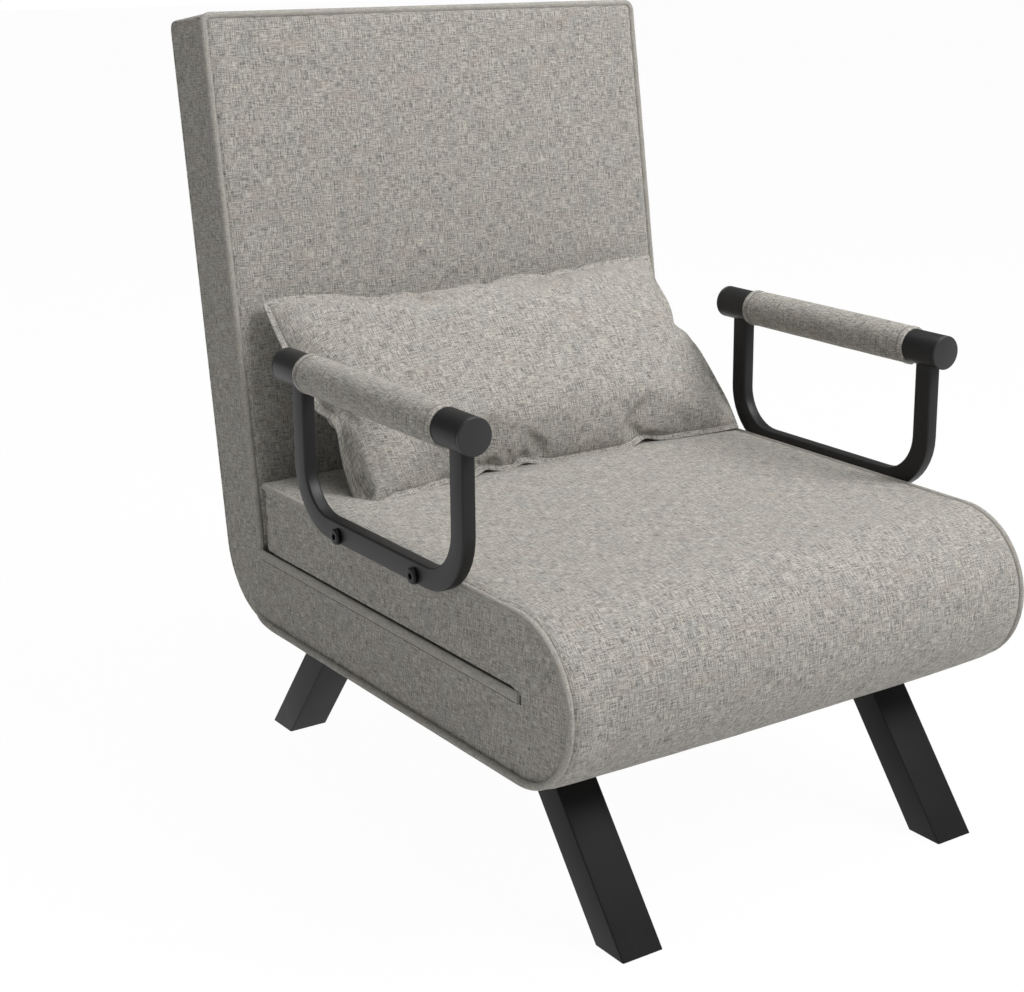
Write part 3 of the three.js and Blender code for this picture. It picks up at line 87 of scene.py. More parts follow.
class Link:
    """A shader value that adds Math nodes when it is used in an expression."""

    def __init__(self, board: "Board", socket: bpy.types.NodeSocket) -> None:
        """Keeps the board that the value belongs to and the socket that it comes from."""
        self.board = board
        self.socket = socket

    def _math(self, operation: str, first: Setting, second: Setting = 0.0) -> "Link":
        """Adds one Math node.

        Args:
            operation: Blender's name for the operation.
            first: its first value.
            second: its second value.

        Returns:
            The node's result.
        """
        return self.board.add("ShaderNodeMath", {"operation": operation}, {0: first, 1: second})

    def __add__(self, other: Setting) -> "Link":
        """Sum."""
        return self._math("ADD", self, other)

    __radd__ = __add__

    def __sub__(self, other: Setting) -> "Link":
        """Difference."""
        return self._math("SUBTRACT", self, other)

    def __rsub__(self, other: Setting) -> "Link":
        """Difference from a number."""
        return self._math("SUBTRACT", other, self)

    def __mul__(self, other: Setting) -> "Link":
        """Product."""
        return self._math("MULTIPLY", self, other)

    __rmul__ = __mul__

    def larger(self, other: Setting) -> "Link":
        """The larger of two."""
        return self._math("MAXIMUM", self, other)

    def step(self, low: float, high: float) -> "Link":
        """Smooth step from 0 at low to 1 at high.

        Args:
            low: value that gives 0.
            high: value that gives 1.

        Returns:
            The stepped value.
        """
        return self.board.add(
            "ShaderNodeMapRange", {"interpolation_type": "SMOOTHSTEP"},
            {0: self, 1: low, 2: high, 3: 0.0, 4: 1.0},
        )


class Board:
    """The node tree of one material, with a Principled shader on its output."""

    def __init__(self, name: str) -> None:
        """Makes an empty material of that name with its shader."""
        self.material = bpy.data.materials.new(name)
        self.material.use_nodes = True
        self.tree = self.material.node_tree
        self.tree.nodes.clear()
        self.shader = self.tree.nodes.new("ShaderNodeBsdfPrincipled")
        output = self.tree.nodes.new("ShaderNodeOutputMaterial")
        self.tree.links.new(self.shader.outputs[0], output.inputs["Surface"])

    def fill(self, node: bpy.types.Node, values: Dict[Union[str, int], Setting]) -> None:
        """Sets or links a node's sockets.

        Args:
            node: the node.
            values: socket name or number to its value or link.
        """
        for key, value in values.items():
            if isinstance(value, Link):
                self.tree.links.new(value.socket, node.inputs[key])
            else:
                node.inputs[key].default_value = value

    def add(
        self, kind: str, settings: Dict[str, object], values: Dict[Union[str, int], Setting],
        output: Union[str, int] = 0,
    ) -> Link:
        """Adds one node.

        Args:
            kind: the node's type.
            settings: its own settings, a ramp's stops under "stops".
            values: its sockets' values or links.
            output: the socket to give back.

        Returns:
            The chosen output.
        """
        node = self.tree.nodes.new(kind)
        for name, setting in settings.items():
            if name == "stops":
                ramp = node.color_ramp
                while len(ramp.elements) < len(setting):
                    ramp.elements.new(0.5)
                for element, (position, colour) in zip(ramp.elements, setting):
                    element.position, element.color = position, (*colour, 1.0)
            else:
                setattr(node, name, setting)
        self.fill(node, values)
        return Link(self, node.outputs[output])

    def surface(self, **values: Setting) -> None:
        """Sets the Principled shader's sockets, with underscores for spaces."""
        self.fill(self.shader, {name.replace("_", " "): value for name, value in values.items()})

    def streaks(self, coordinates: Link, scale: Tuple[float, float, float], detail: float = 2.0) -> Link:
        """Noise drawn out along an axis.

        Args:
            coordinates: position in metres.
            scale: cells per metre along each axis.
            detail: octaves.

        Returns:
            The noise, about 0.5 in the middle.
        """
        stretched = self.add("ShaderNodeVectorMath", {"operation": "MULTIPLY"}, {0: coordinates, 1: scale})
        return self.add("ShaderNodeTexNoise", {}, {"Vector": stretched, "Scale": 1.0, "Detail": detail})

    def blend(self, mask: Link, low: Setting, high: Setting) -> Link:
        """Mixes two colours.

        Args:
            mask: 0 for the first, 1 for the second.
            low: the first colour.
            high: the second colour.

        Returns:
            The mixed colour.
        """
        return self.add("ShaderNodeMix", {"data_type": "RGBA"}, {0: mask, 6: low, 7: high}, 2)

    def bump(self, height: Link, distance: float, strength: float = 1.0) -> Link:
        """Turns a height into a normal.

        Args:
            height: 0 to 1.
            distance: metres that a height of 1 stands for.
            strength: share of the effect.

        Returns:
            The normal.
        """
        return self.add("ShaderNodeBump", {}, {"Height": height, "Distance": distance, "Strength": strength})


class Source(Enum):
    """Where a pattern gets its coordinates from."""

    WEAVE = "UV"
    OBJECT = "Object"


@dataclass(frozen=True)
class HeatherCloth:
    """Linen-look cloth woven of light and dark slubby yarns."""

    name: str = "heather_cloth"
    source: Source = Source.WEAVE
    dark: Tuple[float, float, float] = (0.100, 0.100, 0.096)
    middle: Tuple[float, float, float] = (0.288, 0.276, 0.253)
    cream: Tuple[float, float, float] = (0.500, 0.475, 0.424)
    blue: Tuple[float, float, float] = (0.238, 0.252, 0.256)
    brown: Tuple[float, float, float] = (0.330, 0.275, 0.235)
    yarns: float = 1180.0  # per metre
    slub: float = 66.0  # slubs per metre along a yarn
    contrast: float = 1.0
    level: float = 0.54

    def material(self) -> bpy.types.Material:
        """Builds the material.

        Returns:
            The cloth.
        """
        board = Board(self.name)
        place = board.add("ShaderNodeTexCoord", {}, {}, self.source.value)
        if self.source is Source.OBJECT:
            upright = (math.pi / 2, 0.0, 0.0)
            place = board.add("ShaderNodeMapping", {"vector_type": "POINT"}, {0: place, 2: upright})
        warp = board.streaks(place, (self.yarns, self.slub, 1.0)) - 0.5
        weft = board.streaks(place, (self.slub, self.yarns, 1.0)) - 0.5
        fine_warp = board.streaks(place, (1.9 * self.yarns, 3.0 * self.slub, 1.0), 1.0) - 0.5
        fine_weft = board.streaks(place, (3.0 * self.slub, 1.9 * self.yarns, 1.0), 1.0) - 0.5
        patches = board.streaks(place, (30.0, 30.0, 30.0), 3.0) - 0.5
        yarns = (warp + weft) * 1.6 + (fine_warp + fine_weft) * 1.2
        tone = (yarns + patches * 0.2) * self.contrast + self.level
        yarn = board.add("ShaderNodeValToRGB", {"stops": (
            (0.08, self.dark), (0.5, self.middle), (0.92, self.cream),
        )}, {0: tone})
        cool = board.streaks(place, (55.0, 18.0, 5.0), 2.0).step(0.5, 0.75) * 0.26
        warm = board.streaks(place, (17.0, 60.0, 9.0), 2.0).step(0.52, 0.76) * 0.30
        tinted = board.blend(cool, yarn, (*self.blue, 1.0))
        colour = board.blend(warm, tinted, (*self.brown, 1.0))
        relief = (fine_warp + fine_weft) * 0.6 + (warp + weft) * 0.4 + 0.5
        board.surface(
            Base_Color=colour, Roughness=0.96 - tone * 0.08, Specular_IOR_Level=0.15,
            Sheen_Weight=0.12, Sheen_Roughness=0.5, Sheen_Tint=(0.86, 0.85, 0.82, 1.0),
            Normal=board.bump(relief, 1.0 * MM, 0.6),
        )
        return board.material


@dataclass(frozen=True)
class PowderCoat:
    """Matt black powder coat with a fine grain."""

    name: str = "powder_coat"
    colour: Tuple[float, float, float] = (0.0108, 0.0106, 0.0109)
    roughness: float = 0.44
    shine: float = 0.30

    def material(self) -> bpy.types.Material:
        """Builds the material.

        Returns:
            The coat.
        """
        board = Board(self.name)
        coordinates = board.add("ShaderNodeTexCoord", {}, {}, "Object")
        grain = board.streaks(coordinates, (900.0, 900.0, 900.0), 2.0)
        wear = board.streaks(coordinates, (14.0, 14.0, 14.0), 4.0)
        lighter = tuple(1.35 * channel for channel in self.colour)
        colour = board.blend(wear.step(0.35, 0.75), (*self.colour, 1.0), (*lighter, 1.0))
        board.surface(
            Base_Color=colour, Roughness=self.roughness + (wear - 0.5) * 0.16 + (grain - 0.5) * 0.1,
            Specular_IOR_Level=self.shine, Normal=board.bump(grain, 0.25 * MM, 0.35),
        )
        return board.material


@dataclass(frozen=True)
class Moulded:
    """Fine-grained moulded plastic or rubber."""

    name: str
    colour: Tuple[float, float, float]
    roughness: float
    grain: float = 1300.0

    def material(self) -> bpy.types.Material:
        """Builds the material.

        Returns:
            The plastic or rubber.
        """
        board = Board(self.name)
        coordinates = board.add("ShaderNodeTexCoord", {}, {}, "Object")
        grain = board.streaks(coordinates, (self.grain, self.grain, self.grain), 3.0)
        cloud = board.streaks(coordinates, (22.0, 22.0, 22.0), 3.0)
        darker = tuple(0.8 * channel for channel in self.colour)
        board.surface(
            Base_Color=board.blend(cloud.step(0.3, 0.7), (*self.colour, 1.0), (*darker, 1.0)),
            Roughness=self.roughness + (grain - 0.5) * 0.18, Specular_IOR_Level=0.42,
            Normal=board.bump(grain, 0.2 * MM, 0.4),
        )
        return board.material


@dataclass(frozen=True)
class Lining:
    """Dark non-woven lining with its embossed dots."""

    name: str = "lining"
    colour: Tuple[float, float, float] = (0.035, 0.035, 0.036)
    dots: float = 450.0  # per metre

    def material(self) -> bpy.types.Material:
        """Builds the material.

        Returns:
            The lining.
        """
        board = Board(self.name)
        coordinates = board.add("ShaderNodeTexCoord", {}, {}, "Object")
        sockets = {"Vector": coordinates, "Scale": self.dots}
        cells = board.add("ShaderNodeTexVoronoi", {"feature": "F1"}, sockets)
        fibres = board.streaks(coordinates, (600.0, 90.0, 600.0), 3.0)
        dents = cells.step(0.2, 0.5)
        lighter = tuple(1.8 * channel for channel in self.colour)
        board.surface(
            Base_Color=board.blend(fibres * dents, (*self.colour, 1.0), (*lighter, 1.0)),
            Roughness=0.9 - dents * 0.1, Normal=board.bump(dents * 0.6 + fibres * 0.4, 0.3 * MM, 0.6),
        )
        return board.material


@dataclass(frozen=True)
class Finishes:
    """Every finish on the chair, made once."""

    cloth: bpy.types.Material = field(default_factory=lambda: HeatherCloth().material())
    panel_cloth: bpy.types.Material = field(
        default_factory=lambda: HeatherCloth("heather_panel", Source.OBJECT).material()
    )
    # Cloth for the piping and the welt: a lower contrast for their smoother weave, and a lighter level that paints
    # the light the cords catch.
    cord_cloth_painted_light: bpy.types.Material = field(
        default_factory=lambda: HeatherCloth("heather_cord", contrast=0.45, level=0.56).material()
    )
    coat: bpy.types.Material = field(default_factory=lambda: PowderCoat().material())
    # A darker, duller copy of the arms' powder coat: its darkness is painted shade on the legs and the other steel
    # under the seat.
    leg_coat: bpy.types.Material = field(
        default_factory=lambda: PowderCoat("leg_coat", (0.0064, 0.0064, 0.0067), 0.50, 0.20).material()
    )
    black_oxide: bpy.types.Material = field(
        default_factory=lambda: PowderCoat("black_oxide", (0.0045, 0.0045, 0.0045), 0.40, 0.22).material()
    )
    plastic: bpy.types.Material = field(
        default_factory=lambda: Moulded("moulded_plastic", (0.022, 0.0215, 0.0225), 0.44).material()
    )
    rubber: bpy.types.Material = field(
        default_factory=lambda: Moulded("rubber", (0.014, 0.014, 0.014), 0.72).material()
    )
    lining: bpy.types.Material = field(default_factory=lambda: Lining().material())
    thread: bpy.types.Material = field(
        default_factory=lambda: Moulded("thread", (0.30, 0.29, 0.265), 0.85, 2600.0).material()
    )
    # Painted shade: a dark colour for the thin strip below the welt, standing in for the shade in its stitching
    # groove.
    seam_thread: bpy.types.Material = field(
        default_factory=lambda: Moulded("seam_thread", (0.125, 0.122, 0.115), 0.85, 2600.0).material()
    )
    tack_thread: bpy.types.Material = field(
        default_factory=lambda: Moulded("tack_thread", (0.062, 0.060, 0.056), 0.85, 2600.0).material()
    )


# Places


@dataclass(frozen=True)
class Datum:
    """Places that the pieces share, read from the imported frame."""

    corner_y: float
    bed_z: float
    fold_u: float
    low_z: float
    high_z: float
    lean: float
    hinge: Place

    @classmethod
    def read(cls) -> "Datum":
        """Works the places out from the joints.

        Returns:
            The shared places.
        """
        joints = {joint["name"]: joint for joint in frame["joints"]}
        low = joints["seat_link_swing"]["pos_m"]
        high = joints["seat_unfold"]["pos_m"]
        hinge = joints["back_recline"]["pos_m"]
        up = joints["pillow_slide"]["axis"]
        lean = math.atan2(up[1], up[2])
        bed_z = (low[2] + high[2]) / 2
        behind = (bed_z - hinge[2]) * math.tan((math.pi / 2 - lean) / 2)
        corner_y = hinge[1] - behind
        return cls(corner_y, bed_z, corner_y - low[1], low[2], high[2], lean, (-behind, hinge[2]))

    def place(self, x: float, u: float, z: float) -> Vector:
        """The point in the row frame.

        Args:
            x: across.
            u: forward.
            z: up.

        Returns:
            The point.
        """
        return Vector((x, self.corner_y - u, z))

    def on_back(self, along: float, thick: float) -> Place:
        """A place on the back section.

        Args:
            along: distance up the back from the bed level.
            thick: depth behind its front face.

        Returns:
            The (u, z) place.
        """
        sine, cosine = math.sin(self.lean), math.cos(self.lean)
        return -along * sine - thick * cosine, self.bed_z + along * cosine - thick * sine

    @property
    def slant(self) -> float:
        """Slope of the line that halves the inner corner between base and back."""
        return (math.pi / 2 + self.lean) / 2

    def beside(self, u: float, z: float) -> float:
        """How far a place lies from the line that halves the inner corner."""
        return abs(u * math.sin(self.slant) - (z - self.bed_z) * math.cos(self.slant))


# Making


def smooth_step(share: float) -> float:
    """Rises from 0 to 1 with level ends, and stays level outside them."""
    share = min(1.0, max(0.0, share))
    return share ** 2 * (3 - 2 * share)


def only(*objects: bpy.types.Object) -> None:
    """Selects these objects alone and makes the first one active."""
    if bpy.context.object and bpy.context.object.mode != "OBJECT":
        bpy.ops.object.mode_set(mode="OBJECT")
    bpy.ops.object.select_all(action="DESELECT")
    for one in objects:
        one.select_set(True)
    bpy.context.view_layer.objects.active = objects[0]


def settle(
    piece: bpy.types.Object, name: str, finish: bpy.types.Material, smooth: float = 35.0,
) -> bpy.types.Object:
    """Names a new piece, puts its place in its mesh and gives it its finish.

    Args:
        piece: the object.
        name: its name.
        finish: its material.
        smooth: the angle in degrees up to which edges are shaded smooth.

    Returns:
        The same object.
    """
    only(piece)
    bpy.ops.object.transform_apply(location=True, rotation=True, scale=True)
    bpy.ops.object.shade_smooth_by_angle(angle=math.radians(smooth))
    piece.name = name
    piece.data.name = name
    piece.data.materials.clear()
    piece.data.materials.append(finish)
    return piece


def primitive(kind: str, **settings: object) -> bpy.types.Object:
    """Adds one of Blender's primitives, with its place, turn and size in its mesh.

    Args:
        kind: the primitive's name.
        settings: what it is made with.

    Returns:
        The object.
    """
    bpy.ops.object.select_all(action="DESELECT")
    getattr(bpy.ops.mesh, f"primitive_{kind}_add")(**settings)
    bpy.ops.object.transform_apply(location=True, rotation=True, scale=True)
    return bpy.context.object


def select_where(test: Callable[[Vector, Vector], bool]) -> None:
    """In edit mode, selects the faces of the active mesh whose middle and normal pass a test.

    Args:
        test: takes a face's middle and its normal.
    """
    mesh = bmesh.from_edit_mesh(bpy.context.object.data)
    for face in mesh.faces:
        face.select_set(test(face.calc_center_median(), face.normal))
    mesh.select_flush_mode()
    bmesh.update_edit_mesh(bpy.context.object.data)


def push(vector: Sequence[float]) -> None:
    """Extrudes the selected faces along a vector."""
    bpy.ops.mesh.extrude_region_move(TRANSFORM_OT_translate={"value": tuple(vector)})


def round_edges(piece: bpy.types.Object, width: float, segments: int = 3, angle: float = 40.0) -> None:
    """Rounds the sharp edges of a piece.

    Args:
        piece: the object.
        width: of the bevel.
        segments: of the bevel.
        angle: in degrees, from which an edge is sharp.
    """
    only(piece)
    bevel = piece.modifiers.new("rounding", "BEVEL")
    bevel.width, bevel.segments = width, segments
    bevel.limit_method, bevel.angle_limit = "ANGLE", math.radians(angle)
    bpy.ops.object.modifier_apply(modifier=bevel.name)


def joined(pieces: Sequence[bpy.types.Object]) -> bpy.types.Object:
    """Joins objects into the first one."""
    only(*pieces)
    bpy.ops.object.join()
    return bpy.context.object


class Cloth:
    """Vertices, faces and weave coordinates of a piece of upholstery, gathered before its mesh is made."""

    def __init__(self) -> None:
        """Starts empty."""
        self.points: List[Vector] = []
        self.faces: List[Tuple[int, ...]] = []
        self.weave: List[Place] = []

    def face(self, corners: Sequence[int], weave: Sequence[Place]) -> None:
        """Adds a face with the weave coordinates of its corners."""
        self.faces.append(tuple(corners))
        self.weave.extend(weave)

    def mesh(
        self, name: str, finish: bpy.types.Material, smooth: float = 38.0, weld: float = 1e-5,
    ) -> bpy.types.Object:
        """Makes the object.

        Args:
            name: its name.
            finish: its material.
            smooth: angle of smooth shading, in degrees.
            weld: distance at which points merge.

        Returns:
            The object.
        """
        data = bpy.data.meshes.new(name)
        data.from_pydata([tuple(p) for p in self.points], [], self.faces)
        layer = data.uv_layers.new(name="weave")
        layer.data.foreach_set("uv", np.array(self.weave, np.float32).ravel())
        piece = bpy.data.objects.new(name, data)
        bpy.context.scene.collection.objects.link(piece)
        only(piece)
        bpy.ops.object.mode_set(mode="EDIT")
        bpy.ops.mesh.select_all(action="SELECT")
        if weld:
            bpy.ops.mesh.remove_doubles(threshold=weld)
        bpy.ops.mesh.normals_make_consistent(inside=False)
        bpy.ops.object.mode_set(mode="OBJECT")
        return settle(piece, name, finish, smooth)


def sweep(path: Sequence[Vector], radius: float, sides: int) -> Cloth:
    """Carries a round section along a path and closes both ends.

    Args:
        path: the points of its middle line.
        radius: of the section.
        sides: of the section.

    Returns:
        The cord, with its weave running along it.
    """
    cloth = Cloth()
    count = len(path)
    up = Vector((1.0, 0.0, 0.0))
    lengths = [0.0]
    for i, point in enumerate(path):
        before, after = path[max(0, i - 1)], path[min(count - 1, i + 1)]
        way = (after - before).normalized()
        side = way.cross(up).normalized()
        if side.length < 0.5:
            side = way.orthogonal().normalized()
        up = side.cross(way).normalized()
        if i:
            lengths.append(lengths[-1] + (point - before).length)
        for k in range(sides):
            turn = 2 * math.pi * k / sides
            cloth.points.append(point + radius * (math.cos(turn) * side + math.sin(turn) * up))
    girth = 2 * math.pi * radius / sides
    for i in range(count - 1):
        start, end = lengths[i], lengths[i + 1]
        first, second = i * sides, (i + 1) * sides
        for k in range(sides):
            n = (k + 1) % sides
            low, high = k * girth, (k + 1) * girth
            cloth.face(
                (first + k, second + k, second + n, first + n),
                ((low, start), (low, end), (high, end), (high, start)),
            )
    for first, order in ((0, 1), ((count - 1) * sides, -1)):
        ring = [first + k for k in range(sides)][::order]
        cloth.face(ring, [(0.0, 0.0)] * sides)
    return cloth


# Mattress


class Edge(Enum):
    """What a stretch of a section's outline is."""

    SKIN = 1.0  # covered face, turned in at the side seams
    TIGHT = 0.5  # covered face with a tighter edge
    HEM = 0.95  # the seat's lower edge, turned in above the welt
    LIP = 0.22  # the base's upper edge
    CUT = 0.0  # where a section meets the next one


@dataclass
class Rim:
    """One point of a section's outline."""

    u: float
    z: float
    normal: Place
    edge: Edge
    swell: float = 0.0
    inner: Optional[Place] = None  # where it lies away from the side panels, if elsewhere
    turn: float = 1.0  # how far it is turned in at the side seams, as a share


@dataclass
class Mattress:
    """The upholstered sections: base with back, seat, and the front roll between them."""

    datum: Datum
    finishes: Finishes
    bulge: float = 2.6 * MM
    base_thick: float = 96.2 * MM
    seat_thick: float = 89.6 * MM
    back_thick: float = 99.0 * MM
    back_length: float = 637.5 * MM
    seat_rear: float = 11.6 * MM
    corner: float = 12.0 * MM
    seat_corner: float = 6.0 * MM
    turn_in: float = 6.5 * MM
    piping_radius: float = 4.0 * MM
    piping_inset: float = 4.1 * MM
    piping_out: float = 1.7 * MM
    fold_reach: float = 18.0 * MM  # half width of the fold between base and back
    foot_out: float = 5.5 * MM  # how far the foot of the back's front edges stands out
    rear_turn: float = 0.5  # turn at the back's rear edges, as a share
    welt_radius: float = 6.2 * MM
    seat_crown: float = 7.0 * MM
    back_crown: float = 6.0 * MM
    slit: float = 1.2 * MM
    spacing: float = 10.0 * MM  # of an outline's points
    knuckle_inset: float = 2.9 * MM  # of the knuckles, below the bed level
    knuckle_gap: float = 0.12 * MM  # between a knuckle and the roll
    wedge: float = 1.0 * MM  # where the roll's thin end lies between the knuckles
    heel: float = 11.0 * MM  # rounding of the seat's lower rear edge
    nose_share: float = 0.45  # crown of the roll's top, as a share of the seat's
    sag: float = 4.4 * MM  # of the cover under the roll
    sag_turn: float = -1.2  # where it sags most, as an angle about the roll's middle
    sag_spread: float = 0.45  # how wide the sag is, as an angle
    sag_reach: float = 60.0 * MM  # how far back the sag runs out
    fold_dip: float = 2.0 * MM  # extra depth in the middle of the fold
    turn_width: float = 12.0 * MM  # of the strip that is turned in at a side seam
    seam_inset: float = 1.8 * MM  # of the side seams
    side_margin: float = 5.0 * MM  # strip at the side panels where the fold isn't bent
    side_ease: float = 35.0 * MM  # further strip where it bends
    half: float = field(init=False)
    roll_radius: float = field(init=False)
    roll: Place = field(init=False)
    knuckle: float = field(init=False)
    seams: kdtree.KDTree = field(init=False)

    def __post_init__(self) -> None:
        """Works out the sizes that follow from the others."""
        self.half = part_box("front_roll")[1].x - self.bulge
        self.roll_radius = (self.base_thick + self.seat_thick) / 2
        self.roll = (self.datum.fold_u, self.datum.bed_z - self.base_thick + self.roll_radius)
        self.knuckle = self.datum.bed_z - self.datum.low_z - self.knuckle_inset
        self.seams = self._seam_tree()

    # Outlines

    def line(self, a: Place, b: Place, edge: Edge, swell: Crown = lambda share: 0.0) -> List[Rim]:
        """A straight run without its last point.

        Args:
            a: start.
            b: end.
            edge: what it is.
            swell: crown along it, from 0 to 1.

        Returns:
            Its points.
        """
        du, dz = b[0] - a[0], b[1] - a[1]
        length = math.hypot(du, dz)
        steps = max(1, round(length / self.spacing))
        normal = (dz / length, -du / length)
        return [
            Rim(a[0] + du * i / steps, a[1] + dz * i / steps, normal, edge, swell(i / steps))
            for i in range(steps)
        ]

    def arc(
        self, centre: Place, radius: float, start: float, end: float, edge: Edge,
        swell: Crown = lambda share: 0.0,
    ) -> List[Rim]:
        """An arc without its last point.

        Args:
            centre: of the arc.
            radius: of the arc.
            start: angle.
            end: angle.
            edge: what it is.
            swell: crown along it, from 0 to 1.

        Returns:
            Its points.
        """
        steps = max(3, round(abs(end - start) * radius / (0.7 * self.spacing)))
        outward = 1.0 if end > start else -1.0
        rims = []
        for i in range(steps):
            turn = start + (end - start) * i / steps
            cosine, sine = math.cos(turn), math.sin(turn)
            rims.append(Rim(
                centre[0] + radius * cosine, centre[1] + radius * sine,
                (outward * cosine, outward * sine), edge, swell(i / steps),
            ))
        return rims

    def meeting(self, axis_z: float) -> Tuple[float, float]:
        """Where a knuckle about a fold axis meets the roll.

        Args:
            axis_z: height of the axis.

        Returns:
            The angle about the axis and the angle about the roll's middle.
        """
        apart = self.roll[1] - axis_z
        height = (self.knuckle ** 2 - self.roll_radius ** 2 + apart ** 2) / (2 * apart)
        reach = math.sqrt(self.knuckle ** 2 - height ** 2)
        return math.atan2(height, reach), math.asin((axis_z + height - self.roll[1]) / self.roll_radius)

    def nose_crown(self, turn: float) -> float:
        """Crown of the roll at an angle about its middle: at its top, and where the cover sags underneath."""
        sag = self.sag * math.exp(-((turn - self.sag_turn) / self.sag_spread) ** 2)
        return self.seat_crown * self.nose_share * (0.5 + 0.5 * math.sin(turn)) ** 1.5 + sag

    def nose(self, start: float, end: float) -> List[Rim]:
        """The roll's skin between two angles about its middle, without its last point."""
        return self.arc(
            self.roll, self.roll_radius, start, end, Edge.SKIN,
            lambda share: self.nose_crown(start + (end - start) * share),
        )

    def nose_point(self, turn: float) -> Rim:
        """One point of the roll's skin, at an angle about its middle."""
        cosine, sine = math.cos(turn), math.sin(turn)
        u, z = self.roll[0] + self.roll_radius * cosine, self.roll[1] + self.roll_radius * sine
        return Rim(u, z, (cosine, sine), Edge.SKIN, self.nose_crown(turn))

    @property
    def fold_along(self) -> float:
        """How far the fold at the inner corner reaches along the base and up the back."""
        return self.fold_reach / math.sin(self.datum.slant)

    def fold(self) -> List[Rim]:
        """The fold between base and back, deep enough to lie level once the back is down.

        Its inner part follows the arc about the hinge that each side sweeps. At the side panels it is
        drawn out part of the way to the straight faces.

        Returns:
            Its points, from the base to the back.
        """
        datum, slant = self.datum, self.datum.slant
        swing = (math.pi / 2 - datum.lean) / 2
        toward, across = (math.cos(slant), math.sin(slant)), (-math.sin(slant), math.cos(slant))
        lip = datum.bed_z - self.slit / 2
        rims = []
        steps = 18
        for i in range(steps):
            side = -1 + 2 * i / steps
            size = abs(side)
            turn = swing * (1 - 2 * smooth_step((1 - size) / 2))
            rise = lip - self.fold_dip * (1 - size) - datum.hinge[1]
            reach = self.fold_reach * size
            angle = math.atan2(reach * math.cos(turn), rise + reach * math.sin(turn))
            radius = rise / math.cos(angle + turn)
            out, aside = radius * math.cos(angle), math.copysign(radius * math.sin(angle), side)
            inner = (
                datum.hinge[0] + toward[0] * out + across[0] * aside,
                datum.hinge[1] + toward[1] * out + across[1] * aside,
            )
            along = reach / math.sin(slant)
            if side < 0:
                straight, drawn = (along, lip), 0.5 + 0.35 * smooth_step(size / 0.5)
            else:
                straight, drawn = datum.on_back(along, -self.foot_out), 0.5 + 0.5 * smooth_step(size / 0.4)
            u, z = (near + (far - near) * drawn for near, far in zip(inner, straight))
            rims.append(Rim(u, z, toward, Edge.CUT, 0.0, inner))
        return rims

    def back_outline(self, start: float = 8 * MM) -> List[Rim]:
        """The back's skin, from its foot over the top to the rounded rear corner.

        Args:
            start: how far up the back it starts.

        Returns:
            Its points.
        """
        lean, length, thick = self.datum.lean, self.back_length, self.back_thick
        along, corner, quarter = self.datum.on_back, self.corner, math.pi / 2

        def face(share: float) -> float:
            """Crown of the front face."""
            return self.back_crown * (1 - abs(2 * share - 1) ** 3)

        rims = self.line(along(start, -self.foot_out), along(length - corner, 0.0), Edge.SKIN, face)
        for k, rim in enumerate(rims):
            rim.inner = along(start + (length - corner - start) * k / len(rims), 0.0)
        rims += self.arc(along(length - corner, corner), corner, lean, lean + quarter, Edge.SKIN)
        top = self.line(along(length, corner), along(length, thick - corner), Edge.SKIN)
        for k, rim in enumerate(top):
            rim.turn = 1 - (1 - self.rear_turn) * k / len(top)
        middle = along(length - corner, thick - corner)
        rear = self.arc(middle, corner, lean + quarter, lean + math.pi, Edge.SKIN)
        rear += self.line(along(length - corner, thick), along(0.0, thick), Edge.SKIN)
        for rim in rear:
            rim.turn = self.rear_turn
        rims += top + rear
        steps = 14
        for i in range(steps):
            share = i / steps
            angle = math.pi + lean + (quarter - lean) * share
            radius = thick + (self.base_thick - thick) * share
            normal = (math.cos(angle), math.sin(angle))
            u, z = radius * normal[0], self.datum.bed_z + radius * normal[1]
            turn = self.rear_turn + (1 - self.rear_turn) * share
            rims.append(Rim(u, z, normal, Edge.SKIN, turn=turn))
        return rims

    def base_outline(self) -> List[Rim]:
        """The base with the back: underside, lower half of the roll, knuckle, slit face and crease.

        Returns:
            Its points, counter-clockwise.
        """
        datum = self.datum
        low_z = datum.bed_z - self.base_thick
        knuckle_turn, roll_turn = self.meeting(datum.low_z)
        sag = self.nose_crown(-math.pi / 2)

        def underside(share: float) -> float:
            """How far the underside sags in front."""
            return sag * max(0.0, 1 - (1 - share) * datum.fold_u / self.sag_reach) ** 2

        rims = self.back_outline(self.fold_along)
        rims += self.line((0.0, low_z), (datum.fold_u, low_z), Edge.SKIN, underside)
        rims += self.nose(-math.pi / 2, roll_turn)
        rims.append(self.nose_point(roll_turn))
        knuckle = self.arc((datum.fold_u, datum.low_z), self.knuckle, knuckle_turn, math.pi / 2, Edge.CUT)
        top = datum.bed_z - self.slit / 2
        face = self.line((datum.fold_u - 2 * MM, top), (self.fold_along, top), Edge.LIP)
        return rims + knuckle[1:] + face + self.fold()

    def seat_outline(self) -> List[Rim]:
        """The seat: slit face, knuckle, upper half of the roll, top and rear end.

        Returns:
            Its points, counter-clockwise.
        """
        datum = self.datum
        low, top = datum.bed_z + self.slit / 2, datum.bed_z + self.seat_thick
        knuckle_turn, roll_turn = self.meeting(datum.high_z)
        rear, heel, corner = self.seat_rear, self.heel, self.seat_corner
        nose = self.nose_crown(math.pi / 2)

        def crown(share: float) -> float:
            """Crown of the top, from the roll to the rear end."""
            full = nose + (self.seat_crown - nose) * math.sin(math.pi * min(1.0, share * 0.62)) ** 0.8
            return full * (1 - max(0.0, share - 0.8) / 0.2) ** 0.7

